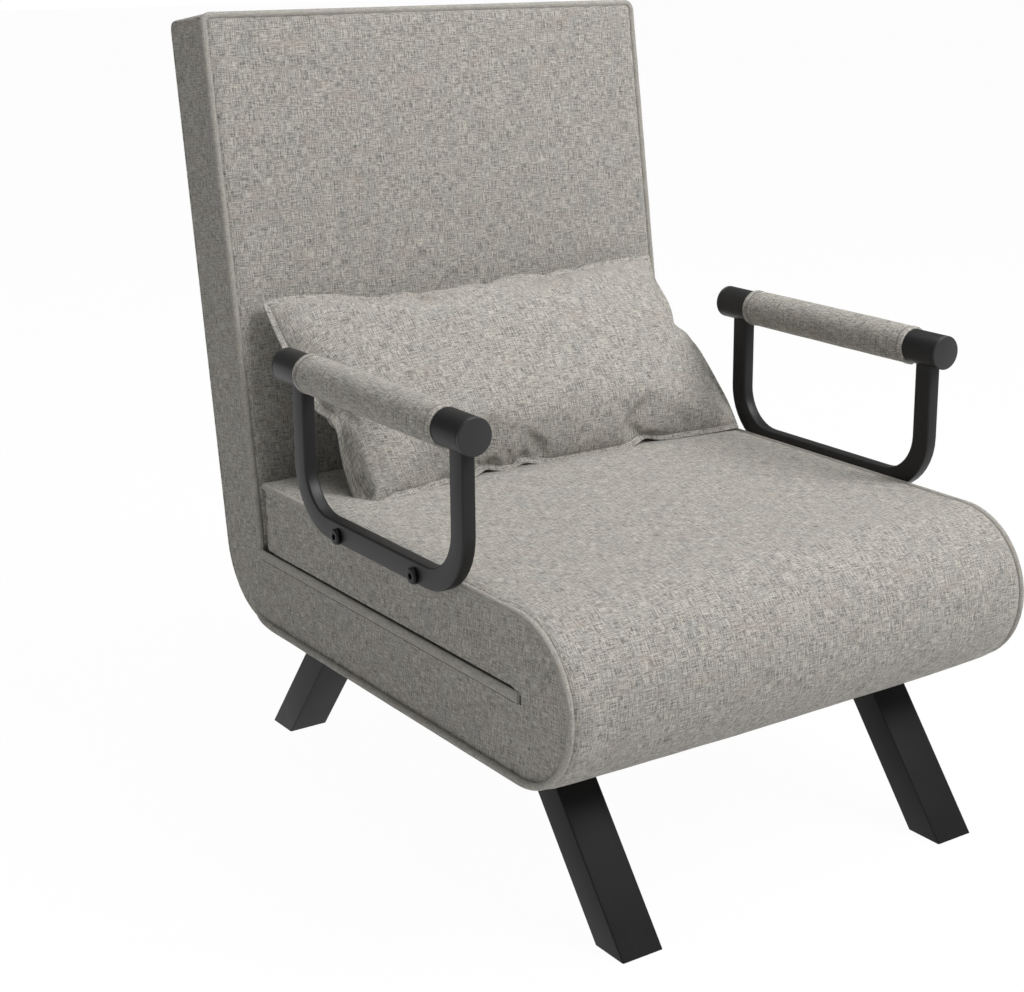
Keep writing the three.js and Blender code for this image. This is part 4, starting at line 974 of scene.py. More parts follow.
        rims = self.line((rear + heel, low), (datum.fold_u, low), Edge.HEM)
        rims += self.arc((datum.fold_u, datum.high_z), self.knuckle, -math.pi / 2, knuckle_turn, Edge.CUT)
        rims += self.nose(roll_turn, math.pi / 2)
        rims += self.line((datum.fold_u, top), (rear + corner, top), Edge.SKIN, crown)
        rims += self.arc((rear + corner, top - corner), corner, math.pi / 2, math.pi, Edge.TIGHT)
        rims += self.line((rear, top - corner), (rear, low + heel), Edge.TIGHT)
        return rims + self.arc((rear + heel, low + heel), heel, math.pi, 1.5 * math.pi, Edge.TIGHT)

    def roll_outline(self) -> List[Rim]:
        """The front roll between the two knuckles.

        Returns:
            Its points, counter-clockwise.
        """
        datum = self.datum
        low_knuckle, low_turn = self.meeting(datum.low_z)
        high_knuckle, high_turn = self.meeting(datum.high_z)
        gap = self.knuckle + self.knuckle_gap
        turn = math.acos(self.wedge / gap)
        rims = self.arc((datum.fold_u, datum.low_z), gap, turn, low_knuckle, Edge.CUT)
        rims += self.nose(low_turn, high_turn)
        rims.append(self.nose_point(high_turn))
        rims += self.arc((datum.fold_u, datum.high_z), gap, high_knuckle, -turn, Edge.CUT)[1:]
        tip = math.sqrt(gap ** 2 - self.wedge ** 2)
        rims.append(Rim(datum.fold_u + self.wedge, datum.high_z - tip, (-1.0, 0.0), Edge.CUT))
        return rims

    # Faces

    def _seam_tree(self) -> kdtree.KDTree:
        """Points along every side seam of the chair, for the bulge of its side panels."""
        datum = self.datum
        low_z, top = datum.bed_z - self.base_thick, datum.bed_z + self.seat_thick
        rims = self.back_outline()
        rims += self.line((0.0, low_z), (datum.fold_u, low_z), Edge.SKIN)
        rims += self.arc(self.roll, self.roll_radius, -math.pi / 2, math.pi / 2, Edge.SKIN)
        rims += self.line((datum.fold_u, top), (self.seat_rear + self.corner, top), Edge.SKIN)
        rims += self.line((self.seat_rear, top - self.corner), (self.seat_rear, datum.bed_z), Edge.SKIN)
        spots = []
        for first, second in zip(rims, rims[1:]):
            du, dz = second.u - first.u, second.z - first.z
            if math.hypot(du, dz) < 2.5 * self.spacing:
                spots += [(first.u + du * k / 5, first.z + dz * k / 5, 0.0) for k in range(5)]
        tree = kdtree.KDTree(len(spots))
        for i, spot in enumerate(spots):
            tree.insert(spot, i)
        tree.balance()
        return tree

    def side_x(self, u: float, z: float) -> float:
        """How far out the side panel lies at a place, fuller away from its seams."""
        away = self.seams.find((u, z, 0.0))[2]
        full = 1 - math.exp(-max(0.0, away - 4 * MM) / (9 * MM))
        ripple = 0.5 * MM * noise.noise(Vector((u * 16, z * 16, 3.0)))
        below = z < self.datum.bed_z
        seam = 0.7 * MM * math.exp(-(self.datum.beside(u, z) / (5 * MM)) ** 2) if below else 0.0
        return self.half - self.seam_inset * (1 - full) + full * (self.bulge + ripple - seam)

    def columns(self) -> List[float]:
        """Places across the width, closer together at the side seams."""
        flat = self.half - self.turn_width
        inner = list(np.linspace(-1.0, 1.0, 45) * flat)
        edge = [self.half - self.turn_width * (1 - math.sin(k * math.pi / 10)) for k in range(1, 6)]
        return [-x for x in reversed(edge)] + inner + edge

    def depth(self, rim: Rim, x: float) -> float:
        """How far a point of the covered face lies outside the outline."""
        if rim.edge is Edge.CUT:
            return 0.0
        over = max(0.0, abs(x) - (self.half - self.turn_width)) / self.turn_width
        inset = self.turn_in * rim.edge.value * rim.turn * (1 - math.sqrt(max(0.0, 1 - over ** 2)))
        if rim.edge in (Edge.LIP, Edge.HEM):
            return -inset
        across = 1 - (x / self.half) ** 2
        place = Vector((x * 7, rim.u * 7, rim.z * 7))
        creases = 0.7 * MM * noise.noise(place) + 0.35 * MM * noise.noise(place * 3.1)
        fullness = 0.4 if rim.z < self.roll[1] - 0.5 * self.roll_radius else 0.75
        return rim.swell * across ** fullness + creases * (1 - over) * min(1.0, 3 * across) - inset

    def cover(self, name: str, outline: List[Rim]) -> bpy.types.Object:
        """Makes a section's cover: a band round its outline, closed by a panel at each side.

        Args:
            name: the piece's name.
            outline: its points, counter-clockwise.

        Returns:
            The closed piece.
        """
        cloth = Cloth()
        columns = self.columns()
        width, count = len(columns), len(outline)
        run = [0.0]
        for first, second in zip(outline, outline[1:] + outline[:1]):
            run.append(run[-1] + math.hypot(second.u - first.u, second.z - first.z))
        for rim in outline:
            for j, x in enumerate(columns):
                out = self.depth(rim, x)
                u, z = rim.u, rim.z
                if rim.inner is not None:
                    share = min(1.0, max(0.0, (self.half - abs(x) - self.side_margin) / self.side_ease))
                    u += (rim.inner[0] - u) * share
                    z += (rim.inner[1] - z) * share
                if j in (0, width - 1):
                    reach = self.half - self.seam_inset if rim.edge is Edge.SKIN else self.side_x(u, z)
                    x = math.copysign(reach, x)
                cloth.points.append(self.datum.place(x, u + rim.normal[0] * out, z + rim.normal[1] * out))
        for i in range(count):
            following = (i + 1) % count
            low, high = run[i], run[i + 1]
            for j in range(width - 1):
                left, right = columns[j], columns[j + 1]
                cloth.face(
                    (i * width + j, i * width + j + 1, following * width + j + 1, following * width + j),
                    ((left, low), (right, low), (right, high), (left, high)),
                )
        self._panels(cloth, outline, width)
        return cloth.mesh(name, self.finishes.cloth)

    def _panels(self, cloth: Cloth, outline: List[Rim], width: int) -> None:
        """Fills both ends of a band with triangles that bulge between the seams."""
        rim_points = []
        for i in range(len(outline)):
            point = cloth.points[i * width]
            rim_points.append(Vector((self.datum.corner_y - point.y, point.z)))
        us, zs = [p.x for p in rim_points], [p.y for p in rim_points]
        tree = kdtree.KDTree(len(rim_points))
        for i, point in enumerate(rim_points):
            tree.insert((point.x, point.y, 0.0), i)
        tree.balance()
        spots = list(rim_points)
        for step, fine in ((1.15 * self.spacing, False), (0.5 * self.spacing, True)):
            for row, z in enumerate(np.arange(min(zs), max(zs), step * 0.87)):
                for u in np.arange(min(us) + (row % 2) * step / 2, max(us), step):
                    beside = self.datum.beside(u, z)
                    folding = beside < self.fold_reach + 6 * MM and z < self.datum.bed_z + 5 * MM
                    if folding is not fine or tree.find((u, z, 0.0))[2] <= 0.5 * step:
                        continue
                    if self._inside(u, z, rim_points):
                        spots.append(Vector((u, z)))
        flat, _, triangles, origin, _, _ = geometry.delaunay_2d_cdt(
            spots, [], [list(range(len(rim_points)))], 1, 1e-7
        )
        for side in SIDES:
            start = len(cloth.points)
            for point, source in zip(flat, origin):
                if source and source[0] < len(rim_points):
                    x = abs(cloth.points[source[0] * width].x)
                else:
                    x = self.side_x(point.x, point.y)
                cloth.points.append(self.datum.place(side * x, point.x, point.y))
            for triangle in triangles:
                cloth.face([start + k for k in triangle], [(flat[k].x + side, flat[k].y) for k in triangle])

    @staticmethod
    def _inside(u: float, z: float, ring: Sequence[Vector]) -> bool:
        """Whether a place lies inside a closed ring."""
        inside = False
        for a, b in zip(ring, list(ring[1:]) + [ring[0]]):
            if (a.y > z) != (b.y > z) and u < (b.x - a.x) * (z - a.y) / (b.y - a.y) + a.x:
                inside = not inside
        return inside

    # Piping

    def back_piping(self) -> bpy.types.Object:
        """Self-fabric piping up one front edge of the back, across its top and down the other.

        Returns:
            The cord.
        """
        reach, bend = self.half + self.piping_out - 0.9 * MM, 10 * MM
        thick, top = self.piping_inset + 0.2 * MM, self.back_length - self.piping_inset
        turns = [k * math.pi / 16 for k in range(9)]
        corner = [
            (reach - bend + bend * math.cos(turn), top - bend + bend * math.sin(turn)) for turn in turns
        ]
        rise = [(reach, along) for along in np.arange(5 * MM, top - bend - 4 * MM, 8 * MM)]
        across = [(x, top) for x in np.arange(reach - bend - 8 * MM, 0.0, -8 * MM)]
        half = rise + corner + across
        path = []
        for x, along in half + [(-x, along) for x, along in reversed(half)]:
            u, z = self.datum.on_back(along, thick - self.foot_out * (1 - along / top))
            wander = 0.25 * MM * noise.noise(Vector((x * 30, along * 30, 1.0)))
            path.append(self.datum.place(x + wander, u + wander, z))
        cord = sweep(path, self.piping_radius + 0.6 * MM, 12)
        return cord.mesh("back_piping", self.finishes.cord_cloth_painted_light, 60.0)

    def piping(
        self, name: str, rims: Sequence[Rim], tail: Sequence[Tuple[float, float, float]] = (),
        dive: int = 0,
    ) -> bpy.types.Object:
        """Self-fabric piping along both side seams of a stretch of outline.

        Args:
            name: the piece's name.
            rims: the stretch.
            tail: further points (x from the seam, u, z) at its end.
            dive: how many points it takes to come out of the cover at its start.

        Returns:
            Both cords in one piece.
        """
        cords = []
        for side in SIDES:
            path = []
            for i, rim in enumerate(rims):
                hidden = max(0.0, 1 - i / dive) ** 2 if dive else 0.0
                depth = self.piping_inset + 5 * MM * hidden
                wander = 0.25 * MM * noise.noise(Vector((rim.u * 30, rim.z * 30, side)))
                path.append(self.datum.place(
                    side * (self.half + self.piping_out + wander - 8 * MM * hidden),
                    rim.u - rim.normal[0] * depth, rim.z - rim.normal[1] * depth,
                ))
            path += [self.datum.place(side * (self.half + self.piping_out + x), u, z) for x, u, z in tail]
            cord = sweep(path, self.piping_radius, 12)
            cords.append(cord.mesh(f"{name}_{int(side)}", self.finishes.cord_cloth_painted_light, 60.0))
        return settle(joined(cords), name, self.finishes.cord_cloth_painted_light, 60.0)

    def strip(
        self, name: str, places: Sequence[Place], out: float, radius: float, flat: float,
        finish: bpy.types.Material,
    ) -> bpy.types.Object:
        """A flattened strip on both side panels.

        Args:
            name: the piece's name.
            places: (u, z) points of its middle.
            out: how far its middle lies outside the side seam.
            radius: half its width.
            flat: its thickness as a share of its width.
            finish: its material.

        Returns:
            Both strips in one piece.
        """
        strips = []
        for side in SIDES:
            middle = side * (self.half + out)
            cord = sweep([self.datum.place(middle, u, z) for u, z in places], radius, 14)
            cord.points = [Vector((middle + (p.x - middle) * flat, p.y, p.z)) for p in cord.points]
            strips.append(cord.mesh(f"{name}_{int(side)}", finish, 60.0))
        return settle(joined(strips), name, finish, 60.0)

    def build(self) -> List[bpy.types.Object]:
        """Builds the covers and their piping, and ties all but the base-and-back cover and the back piping to the
        bodies.

        Returns:
            The pieces.
        """
        base, seat, roll = self.base_outline(), self.seat_outline(), self.roll_outline()
        base_cover = self.cover("base_and_back_cover", base)
        seat_cover = self.cover("seat_cover", seat)
        roll_cover = self.cover("front_roll_cover", roll)
        base_skin, seat_skin, roll_skin = (
            [rim for rim in rims if rim.edge is Edge.SKIN] for rims in (base, seat, roll)
        )
        back_piping = self.back_piping()
        start = len(self.back_outline(self.fold_along)) - 4
        base_piping = self.piping("base_piping", base_skin[start:], (), 7)
        rear, top = self.seat_rear, self.datum.bed_z + self.seat_thick
        seat_piping = self.piping("seat_piping", seat_skin, [
            (-0.5 * MM, rear + 5.0 * MM, top - 4.2 * MM), (-2.6 * MM, rear + 3.4 * MM, top - 4.4 * MM),
            (-6.5 * MM, rear + 3.0 * MM, top - 4.8 * MM), (-13 * MM, rear + 4.5 * MM, top - 6.5 * MM),
        ])
        roll_piping = self.piping("front_roll_piping", roll_skin)
        welt_z, end_u = self.datum.bed_z - 2.0 * MM, self.datum.fold_u + 3 * MM
        seam_z = welt_z - self.welt_radius - 0.1 * MM
        welt = self.strip(
            "slit_welt", [(u, welt_z) for u in np.linspace(3 * MM, end_u, 56)],
            self.bulge + 0.5 * MM, self.welt_radius, 0.42, self.finishes.cord_cloth_painted_light,
        )
        # Painted shade: a thin dark strip along the groove below the welt, in place of the shade that falls there.
        seam = self.strip(
            "slit_welt_seam", [(u, seam_z) for u in np.linspace(6 * MM, end_u, 56)],
            self.bulge + 0.8 * MM, 0.8 * MM, 0.8, self.finishes.seam_thread,
        )
        tack = self.strip(
            "slit_tack", [(end_u + 2.2 * MM, welt_z + step * MM) for step in (-6.6, -3.0, 0.0, 3.5)],
            self.bulge + 0.2 * MM, 0.9 * MM, 0.8, self.finishes.tack_thread,
        )

        hinge = self.datum.place(0.0, *self.datum.hinge)
        reach = Vector((0.0, math.sin(self.datum.slant), math.cos(self.datum.slant))) * self.fold_reach
        for piece in (base_cover, back_piping):
            hinge - reach
            hinge + reach
            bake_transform(piece)
        for piece in (seat_cover, seat_piping):
            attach(piece, "seat")
        for piece in (base_piping, welt, seam, tack):
            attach(piece, "base")
        anchor = self.datum.place(0.0, self.datum.fold_u + 40 * MM, self.datum.bed_z)
        for piece in (roll_cover, roll_piping):
            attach(piece, "links")
            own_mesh(piece)
        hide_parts("base_cushion", "back_cushion")
        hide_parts("seat_foam", "seat_pad")
        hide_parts("front_roll")
        pieces = [base_cover, seat_cover, roll_cover, base_piping, back_piping, seat_piping, roll_piping]
        pieces += [welt, seam, tack]
        return pieces


# Pillow


@dataclass
class Pillow:
    """Loose lumbar pillow: a bag swollen by a cloth simulation, with a flat flange sewn round it."""

    datum: Datum
    finishes: Finishes
    seat_top: float
    width: float = 588 * MM
    height: float = 278 * MM
    thick: float = 118 * MM
    front_thick: float = 46 * MM  # from the seam to the front
    tilt: float = math.radians(42.6)
    middle: Tuple[float, float, float] = (5 * MM, 71 * MM, 476 * MM)  # of the seam's plane
    flange: float = 5.4 * MM
    flange_thick: float = 2.0 * MM
    slip: float = 9.4 * MM  # of its foot to the right
    twist: float = 8.4 * MM  # of its foot's ends, left forward and right back
    tuck: float = 24.0 * MM  # of its lower left corner to the right
    shoulder: float = 15.0 * MM  # how far its right side draws in below the upper corner
    rest: float = 2.5 * MM  # how high its foot lies above the seat's outline
    places: int = 25  # across its foot, where its height above the seat is taken
    cell: float = 5.0 * MM  # pitch of the weave along its seam
    draw_in: float = -0.034
    dip: float = -0.170
    pucker: float = 1.5 * MM
    columns: int = 104
    rows: int = 46

    def point(self, i: int, j: int, face: float, fill: float) -> Vector:
        """A point of one panel in the pillow's own plane.

        Args:
            i: column.
            j: row.
            face: 1 for the front, -1 for the rear.
            fill: half thickness in the middle.

        Returns:
            The point.
        """
        a, b = -1 + 2 * i / self.columns, -1 + 2 * j / self.rows
        x = a * (self.width / 2 - self.flange) * (1 - self.draw_in * (1 - b * b))
        y = b * (self.height / 2 - self.flange) * (1 - self.dip * (1 - a * a))
        return Vector((x, y, face * fill * max(0.0, (1 - abs(a) ** 4) * (1 - b * b)) ** 0.6))

    def _grid(self) -> Tuple[Dict[Tuple[int, int, int], int], List[Tuple[int, int]]]:
        """Numbers the points of both panels, which share their rim.

        Returns:
            The number of each (column, row, panel) and the rim in order.
        """
        rim = [(i, 0) for i in range(self.columns)] + [(self.columns, j) for j in range(self.rows)]
        rim += [(i, self.rows) for i in range(self.columns, 0, -1)]
        rim += [(0, j) for j in range(self.rows, 0, -1)]
        numbers: Dict[Tuple[int, int, int], int] = {}
        for k, (i, j) in enumerate(rim):
            numbers[i, j, 1] = numbers[i, j, -1] = k
        following = len(rim)
        for face in (1, -1):
            for j in range(1, self.rows):
                for i in range(1, self.columns):
                    numbers[i, j, face] = following
                    following += 1
        return numbers, rim

    def bag(self) -> Tuple[bpy.types.Object, int]:
        """Makes the bag and swells it.

        Returns:
            The bag, and how many of its first points run round its seam.
        """
        numbers, rim = self._grid()
        places = {number: key for key, number in numbers.items()}
        fill = 9 * MM
        cloth = Cloth()
        for k in range(len(places)):
            i, j, face = places[k]
            cloth.points.append(self.point(i, j, float(face), fill))
        for face in (1, -1):
            for j in range(self.rows):
                for i in range(self.columns):
                    corners = [(i, j), (i + 1, j), (i + 1, j + 1), (i, j + 1)][::face]
                    cloth.face(
                        [numbers[m, n, face] for m, n in corners],
                        [
                            (m * self.width / self.columns + face, n * self.height / self.rows)
                            for m, n in corners
                        ],
                    )
        bag = cloth.mesh("pillow_cover", self.finishes.cloth, 60.0, 0.0)
        self._swell(bag)
        self._fit(bag, len(rim))
        return bag, len(rim)

    def _swell(self, bag: bpy.types.Object) -> None:
        """Inflates the bag so that its seams draw in and pucker.

        Args:
            bag: the flat bag.
        """
        only(bag)
        modifier = bag.modifiers.new("swell", "CLOTH")
        cloth = modifier.settings
        cloth.quality, cloth.mass, cloth.air_damping = 7, 0.25, 1.4
        cloth.tension_stiffness = cloth.compression_stiffness = 16.0
        cloth.shear_stiffness, cloth.bending_stiffness = 8.0, 0.35
        cloth.tension_damping = cloth.compression_damping = 6.0
        cloth.use_pressure, cloth.uniform_pressure_force = True, 4.2
        cloth.effector_weights.gravity = 0.0
        modifier.collision_settings.use_collision = False
        modifier.point_cache.frame_start, modifier.point_cache.frame_end = 1, 20
        scene = bpy.context.scene
        for number in range(1, 21):
            scene.frame_set(number)
        bpy.ops.object.modifier_apply(modifier=modifier.name)
        scene.frame_set(1)

    def _fit(self, bag: bpy.types.Object, count: int) -> None:
        """Brings the swollen bag to its size, less the flange, and puckers it along its seam.

        Args:
            bag: the swollen bag.
            count: how many of its first points run round its seam.
        """
        points = np.array([tuple(vertex.co) for vertex in bag.data.vertices])
        corners = (0, self.columns, self.columns + self.rows, 2 * self.columns + self.rows)
        held = np.array([min(abs(k - c) for c in corners + (count,)) < 2 for k in range(count)])[:, None]
        for _ in range(4):
            seam = points[:count]
            even = (np.roll(seam, 1, axis=0) + seam + np.roll(seam, -1, axis=0)) / 3
            points[:count] = np.where(held, seam, even)
        low, high = points.min(axis=0), points.max(axis=0)
        wanted = np.array((self.width - 2 * self.flange, self.height - 2 * self.flange))
        points[:, :2] = (points[:, :2] - (low + high)[:2] / 2) * wanted / (high - low)[:2]
        rear_thick = self.thick - self.front_thick
        points[:, 2] *= np.where(points[:, 2] > 0, self.front_thick / high[2], rear_thick / -low[2])
        seam = points[:count]
        tree = kdtree.KDTree(count)
        for k in range(count):
            tree.insert(seam[k], k)
        tree.balance()
        for point in points[count:]:
            _, nearest, away = tree.find(point)
            run = nearest * self.cell
            drift = 5 * noise.noise(Vector((run * 9, 1.0, 0.0)))
            wave = math.sin(run * 150 + drift) * (0.6 + noise.noise(Vector((run * 13, 4.0, 0.0))))
            lift = self.pucker * wave * math.exp(-away / (20 * MM)) * min(1.0, away / (6 * MM))
            point[2] += math.copysign(lift, point[2]) if lift > 0 or abs(point[2]) > -lift else 0.0
        bag.data.vertices.foreach_set("co", points.astype(np.float32).ravel())
        bag.data.update()

    def _hem(self, bag: bpy.types.Object, count: int) -> bpy.types.Object:
        """Makes the flange along the seam.

        Args:
            bag: the bag.
            count: how many of its first points run round its seam.

        Returns:
            The flange.
        """
        seam = [bag.data.vertices[k].co.copy() for k in range(count)]
        outs = []
        for k in range(count):
            way = seam[(k + 5) % count] - seam[k - 5]
            outs.append(Vector((way.y, -way.x, 0.0)).normalized())
        cloth = Cloth()
        stations = [(-2.0 * MM, 0.5)]  # how far outside the seam, and the share of the thickness above it
        stations += [(0.45 * self.flange, 0.42), (0.9 * self.flange, 0.5), (self.flange, 0.0)]
        loop = stations + [(reach, -half) for reach, half in stations[-2::-1]]
        for k in range(count):
            wave = 1.1 * MM * noise.noise(Vector((k * 0.16, 2.0, 0.0)))
            for reach, half in loop:
                rise = half * self.flange_thick + max(0.0, reach) / self.flange * wave
                cloth.points.append(seam[k] + outs[k] * reach + Vector((0.0, 0.0, rise)))
        size = len(loop)
        for k in range(count):
            following = (k + 1) % count
            start, end = k * self.cell, (k + 1) * self.cell
            for m in range(size):
                n = (m + 1) % size
                low, high = m * 4 * MM, (m + 1) * 4 * MM
                corners = (k * size + m, following * size + m, following * size + n, k * size + n)
                cloth.face(corners, [(start, low), (end, low), (end, high), (start, high)])
        return cloth.mesh("pillow_flange", self.finishes.cloth, 60.0)

    def _lean(self, piece: bpy.types.Object) -> None:
        """Leans the pillow back, lets its foot slip aside and draws in its right shoulder.

        Args:
            piece: the piece, still in the pillow's own plane.
        """
        turn = Matrix.Rotation(math.pi / 2 - self.tilt, 4, "X")
        piece.data.transform(Matrix.Translation(self.datum.place(*self.middle)) @ turn)
        rise = self.height * math.cos(self.tilt)
        for vertex in piece.data.vertices:
            low = min(1.0, max(0.0, 0.5 - (vertex.co.z - self.middle[2]) / rise))
            aside = vertex.co.x / (self.width / 2)
            tuck = self.tuck * max(0.0, -aside) ** 2
            shoulder = self.shoulder * math.exp(-((low - 0.15) / 0.16) ** 2) * max(0.0, aside) ** 3
            vertex.co.y -= low * (1.5 * MM - self.twist * aside)
            vertex.co.x += low * (self.slip + tuck) - shoulder

    def _foot(self, hem: bpy.types.Object) -> List[float]:
        """How high the lower edge hangs above the seat, from left to right.

        Args:
            hem: the flange, leant back.

        Returns:
            The heights.
        """
        lowest = [math.inf] * self.places
        for vertex in hem.data.vertices:
            place = round((vertex.co.x / self.width + 0.5) * (self.places - 1))
            if 0 <= place < self.places:
                lowest[place] = min(lowest[place], vertex.co.z)
        gaps = [z - self.seat_top - self.rest if z < math.inf else 0.0 for z in lowest]
        near = [gaps[max(0, k - 1):k + 2] for k in range(self.places)]
        return [sum(few) / len(few) for few in near]

    def _lay(self, piece: bpy.types.Object, gaps: Sequence[float]) -> None:
        """Settles the pillow's foot on the seat and presses it flat where it meets the back and the seat.

        Args:
            piece: the piece, leant back.
            gaps: how high the lower edge hangs, from left to right.
        """
        lean, last = self.datum.lean, self.places - 1
        floor = self.seat_top + self.rest
        for vertex in piece.data.vertices:
            point = vertex.co
            place = min(last - 0.001, max(0.0, (point.x / self.width + 0.5) * last))
            first = int(place)
            gap = gaps[first] + (gaps[first + 1] - gaps[first]) * (place - first)
            point.z -= gap * math.exp(-max(0.0, point.z - self.seat_top - gap) / (45 * MM))
            if point.z < floor:
                point.z = floor - (floor - point.z) * 0.12
            u = self.datum.corner_y - point.y
            ahead = u * math.cos(lean) + (point.z - self.datum.bed_z) * math.sin(lean) - 4.0 * MM
            if ahead < 0:
                point.y += 0.9 * ahead / math.cos(lean)
        piece.data.update()

    def build(self) -> List[bpy.types.Object]:
        """Builds the pillow and ties it to its body.

        Returns:
            The pieces.
        """
        bag, count = self.bag()
        hem = self._hem(bag, count)
        only(bag)
        finer = bag.modifiers.new("finer", "SUBSURF")
        finer.levels = finer.render_levels = 1
        bpy.ops.object.modifier_apply(modifier=finer.name)
        for piece in (bag, hem):
            self._lean(piece)
        gaps = self._foot(hem)
        for piece in (bag, hem):
            self._lay(piece, gaps)
            settle(piece, piece.name, self.finishes.cloth, 60.0)
            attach(piece, "pillow")
        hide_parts("pillow")
        return [bag, hem]


# Steel


@dataclass
class Arm:
    """One armrest: U-shaped bar, round tube with end caps, padded sleeve and two bolts."""

    datum: Datum
    finishes: Finishes
    side: float
    bar_x: float = 321.6 * MM
    bar_width: float = 16 * MM
    bar_depth: float = 25 * MM
    rear: float = 131 * MM
    front: float = 485 * MM
    bottom: float = 347.6 * MM
    bend: float = 74 * MM
    tube_x: float = 322.8 * MM
    tube_z: float = 526.95 * MM
    tube_radius: float = 20 * MM
    tube_rear: float = 109 * MM
    tube_front: float = 499 * MM
    cap: float = 4 * MM
    sleeve_middle: float = 305 * MM
    sleeve_length: float = 285 * MM
    sleeve_radius: float = 22.15 * MM
    hem: float = 8 * MM
    bolts: Tuple[float, float] = (227 * MM, 389 * MM)
    bolt_z: float = 356.6 * MM
    tube_wall: float = 2.2 * MM
    bolt_head: Tuple[float, float, float] = (9.0 * MM, 4.8 * MM, 2.3 * MM)  # radius, depth, rounding
    bolt_flange: Tuple[float, float, float] = (9.5 * MM, 0.5 * MM, 0.15 * MM)
    socket_radius: float = 3.8 * MM
    socket_depth: float = 5.0 * MM
    groove: float = 1.6 * MM  # half width of the dent along a row of stitches
    stitches: int = 34  # in each row

    @property
    def word(self) -> str:
        """Left or right."""
        return "left" if self.side < 0 else "right"

    def bar(self) -> bpy.types.Object:
        """Bends the bar: down, round, back, round and up again.

        Returns:
            The bar.
        """
        half, mid = self.bar_depth / 2, self.bend - self.bar_depth / 2
        top, turn_z = self.tube_z - 8 * MM, self.bottom + self.bend
        front_y = self.datum.corner_y - (self.front - half)
        rear_y = self.datum.corner_y - (self.rear + half)
        x = self.side * self.bar_x
        bar = primitive(
            "cube", size=1.0, location=(x, front_y, (top + turn_z) / 2),
            scale=(self.bar_width, self.bar_depth, top - turn_z),
        )
        bpy.ops.object.mode_set(mode="EDIT")
        bpy.ops.mesh.select_mode(type="FACE")
        select_where(lambda middle, normal: normal.z < -0.9)
        stretches = (
            (front_y + mid, (0.0, rear_y - front_y - 2 * mid, 0.0)), (rear_y - mid, (0.0, 0.0, top - turn_z)),
        )
        for centre_y, way in stretches:
            centre = (x, centre_y, turn_z)
            bpy.ops.mesh.spin(steps=11, angle=-math.pi / 2, center=centre, axis=(1.0, 0.0, 0.0))
            push(way)
        bpy.ops.mesh.select_all(action="SELECT")
        bpy.ops.mesh.remove_doubles(threshold=1e-6)
        bpy.ops.mesh.normals_make_consistent(inside=False)
        bpy.ops.object.mode_set(mode="OBJECT")
        round_edges(bar, 2.6 * MM, 4)
        return bar

    def rod(self, name: str, start: float, end: float, radius: float, rounding: float) -> bpy.types.Object:
        """A round bar along the tube's axis.

        Args:
            name: the piece's name.
            start: its rear end.
            end: its front end.
            radius: of the bar.
            rounding: of its ends.

        Returns:
            The bar.
        """
        rod = primitive(
            "cylinder", vertices=56, radius=radius, depth=abs(end - start), rotation=(math.pi / 2, 0.0, 0.0),
            location=self.datum.place(self.side * self.tube_x, (start + end) / 2, self.tube_z),
        )
        rod.name = name
        round_edges(rod, rounding, 4)
        return rod

    def frame(self) -> bpy.types.Object:
        """The bar welded to its tube, whose end faces show its wall.

        Returns:
            The frame.
        """
        start, end = self.tube_rear + self.cap, self.tube_front - self.cap
        tube = self.rod("tube", start, end, self.tube_radius, 0.8 * MM)
        bpy.ops.object.mode_set(mode="EDIT")
        bpy.ops.mesh.select_mode(type="FACE")
        select_where(lambda middle, normal: abs(normal.y) > 0.99)
        bpy.ops.mesh.inset(thickness=self.tube_wall, use_individual=True)
        bpy.ops.object.mode_set(mode="OBJECT")
        bar = self.bar()
        beads = []
        for u in (self.rear + self.bar_depth / 2, self.front - self.bar_depth / 2):
            centre = self.datum.place(self.side * self.bar_x, u, self.tube_z - 0.86 * self.tube_radius)
            bead = primitive(
                "torus", major_radius=10.8 * MM, minor_radius=1.5 * MM,
                major_segments=28, minor_segments=8, location=centre,
            )
            bpy.ops.object.mode_set(mode="EDIT")
            bpy.ops.transform.resize(value=(0.78, 1.18, 1.0), center_override=centre)
            bpy.ops.object.mode_set(mode="OBJECT")
            beads.append(bead)
        return settle(joined([bar, tube] + beads), f"arm_{self.word}", self.finishes.coat, 40.0)

    def bolt(self, name: str, u: float) -> bpy.types.Object:
        """A button-head bolt with a hexagon socket, seen from outside.

        Args:
            name: the piece's name.
            u: where it sits along the bar.

        Returns:
            The head and its flange.
        """
        outer = self.side * (self.bar_x + self.bar_width / 2)
        turn = (0.0, self.side * math.pi / 2, 0.0)
        parts = []
        for (radius, depth, rounding), start in ((self.bolt_head, 0.3 * MM), (self.bolt_flange, 0.1 * MM)):
            part = primitive(
                "cylinder", vertices=40, radius=radius, depth=depth, rotation=turn,
                location=self.datum.place(outer + self.side * (start + depth / 2), u, self.bolt_z),
            )
            round_edges(part, rounding, 5)
            parts.append(part)
        key = primitive(
            "cylinder", vertices=6, radius=self.socket_radius, depth=self.socket_depth, rotation=turn,
            location=self.datum.place(outer + self.side * self.socket_depth, u, self.bolt_z),
        )
        only(parts[0])
        cut = parts[0].modifiers.new("socket", "BOOLEAN")
        cut.operation, cut.solver, cut.object = "DIFFERENCE", "EXACT", key
        bpy.ops.object.modifier_apply(modifier=cut.name)
        bpy.data.objects.remove(key)
        return settle(joined(parts), name, self.finishes.black_oxide, 35.0)

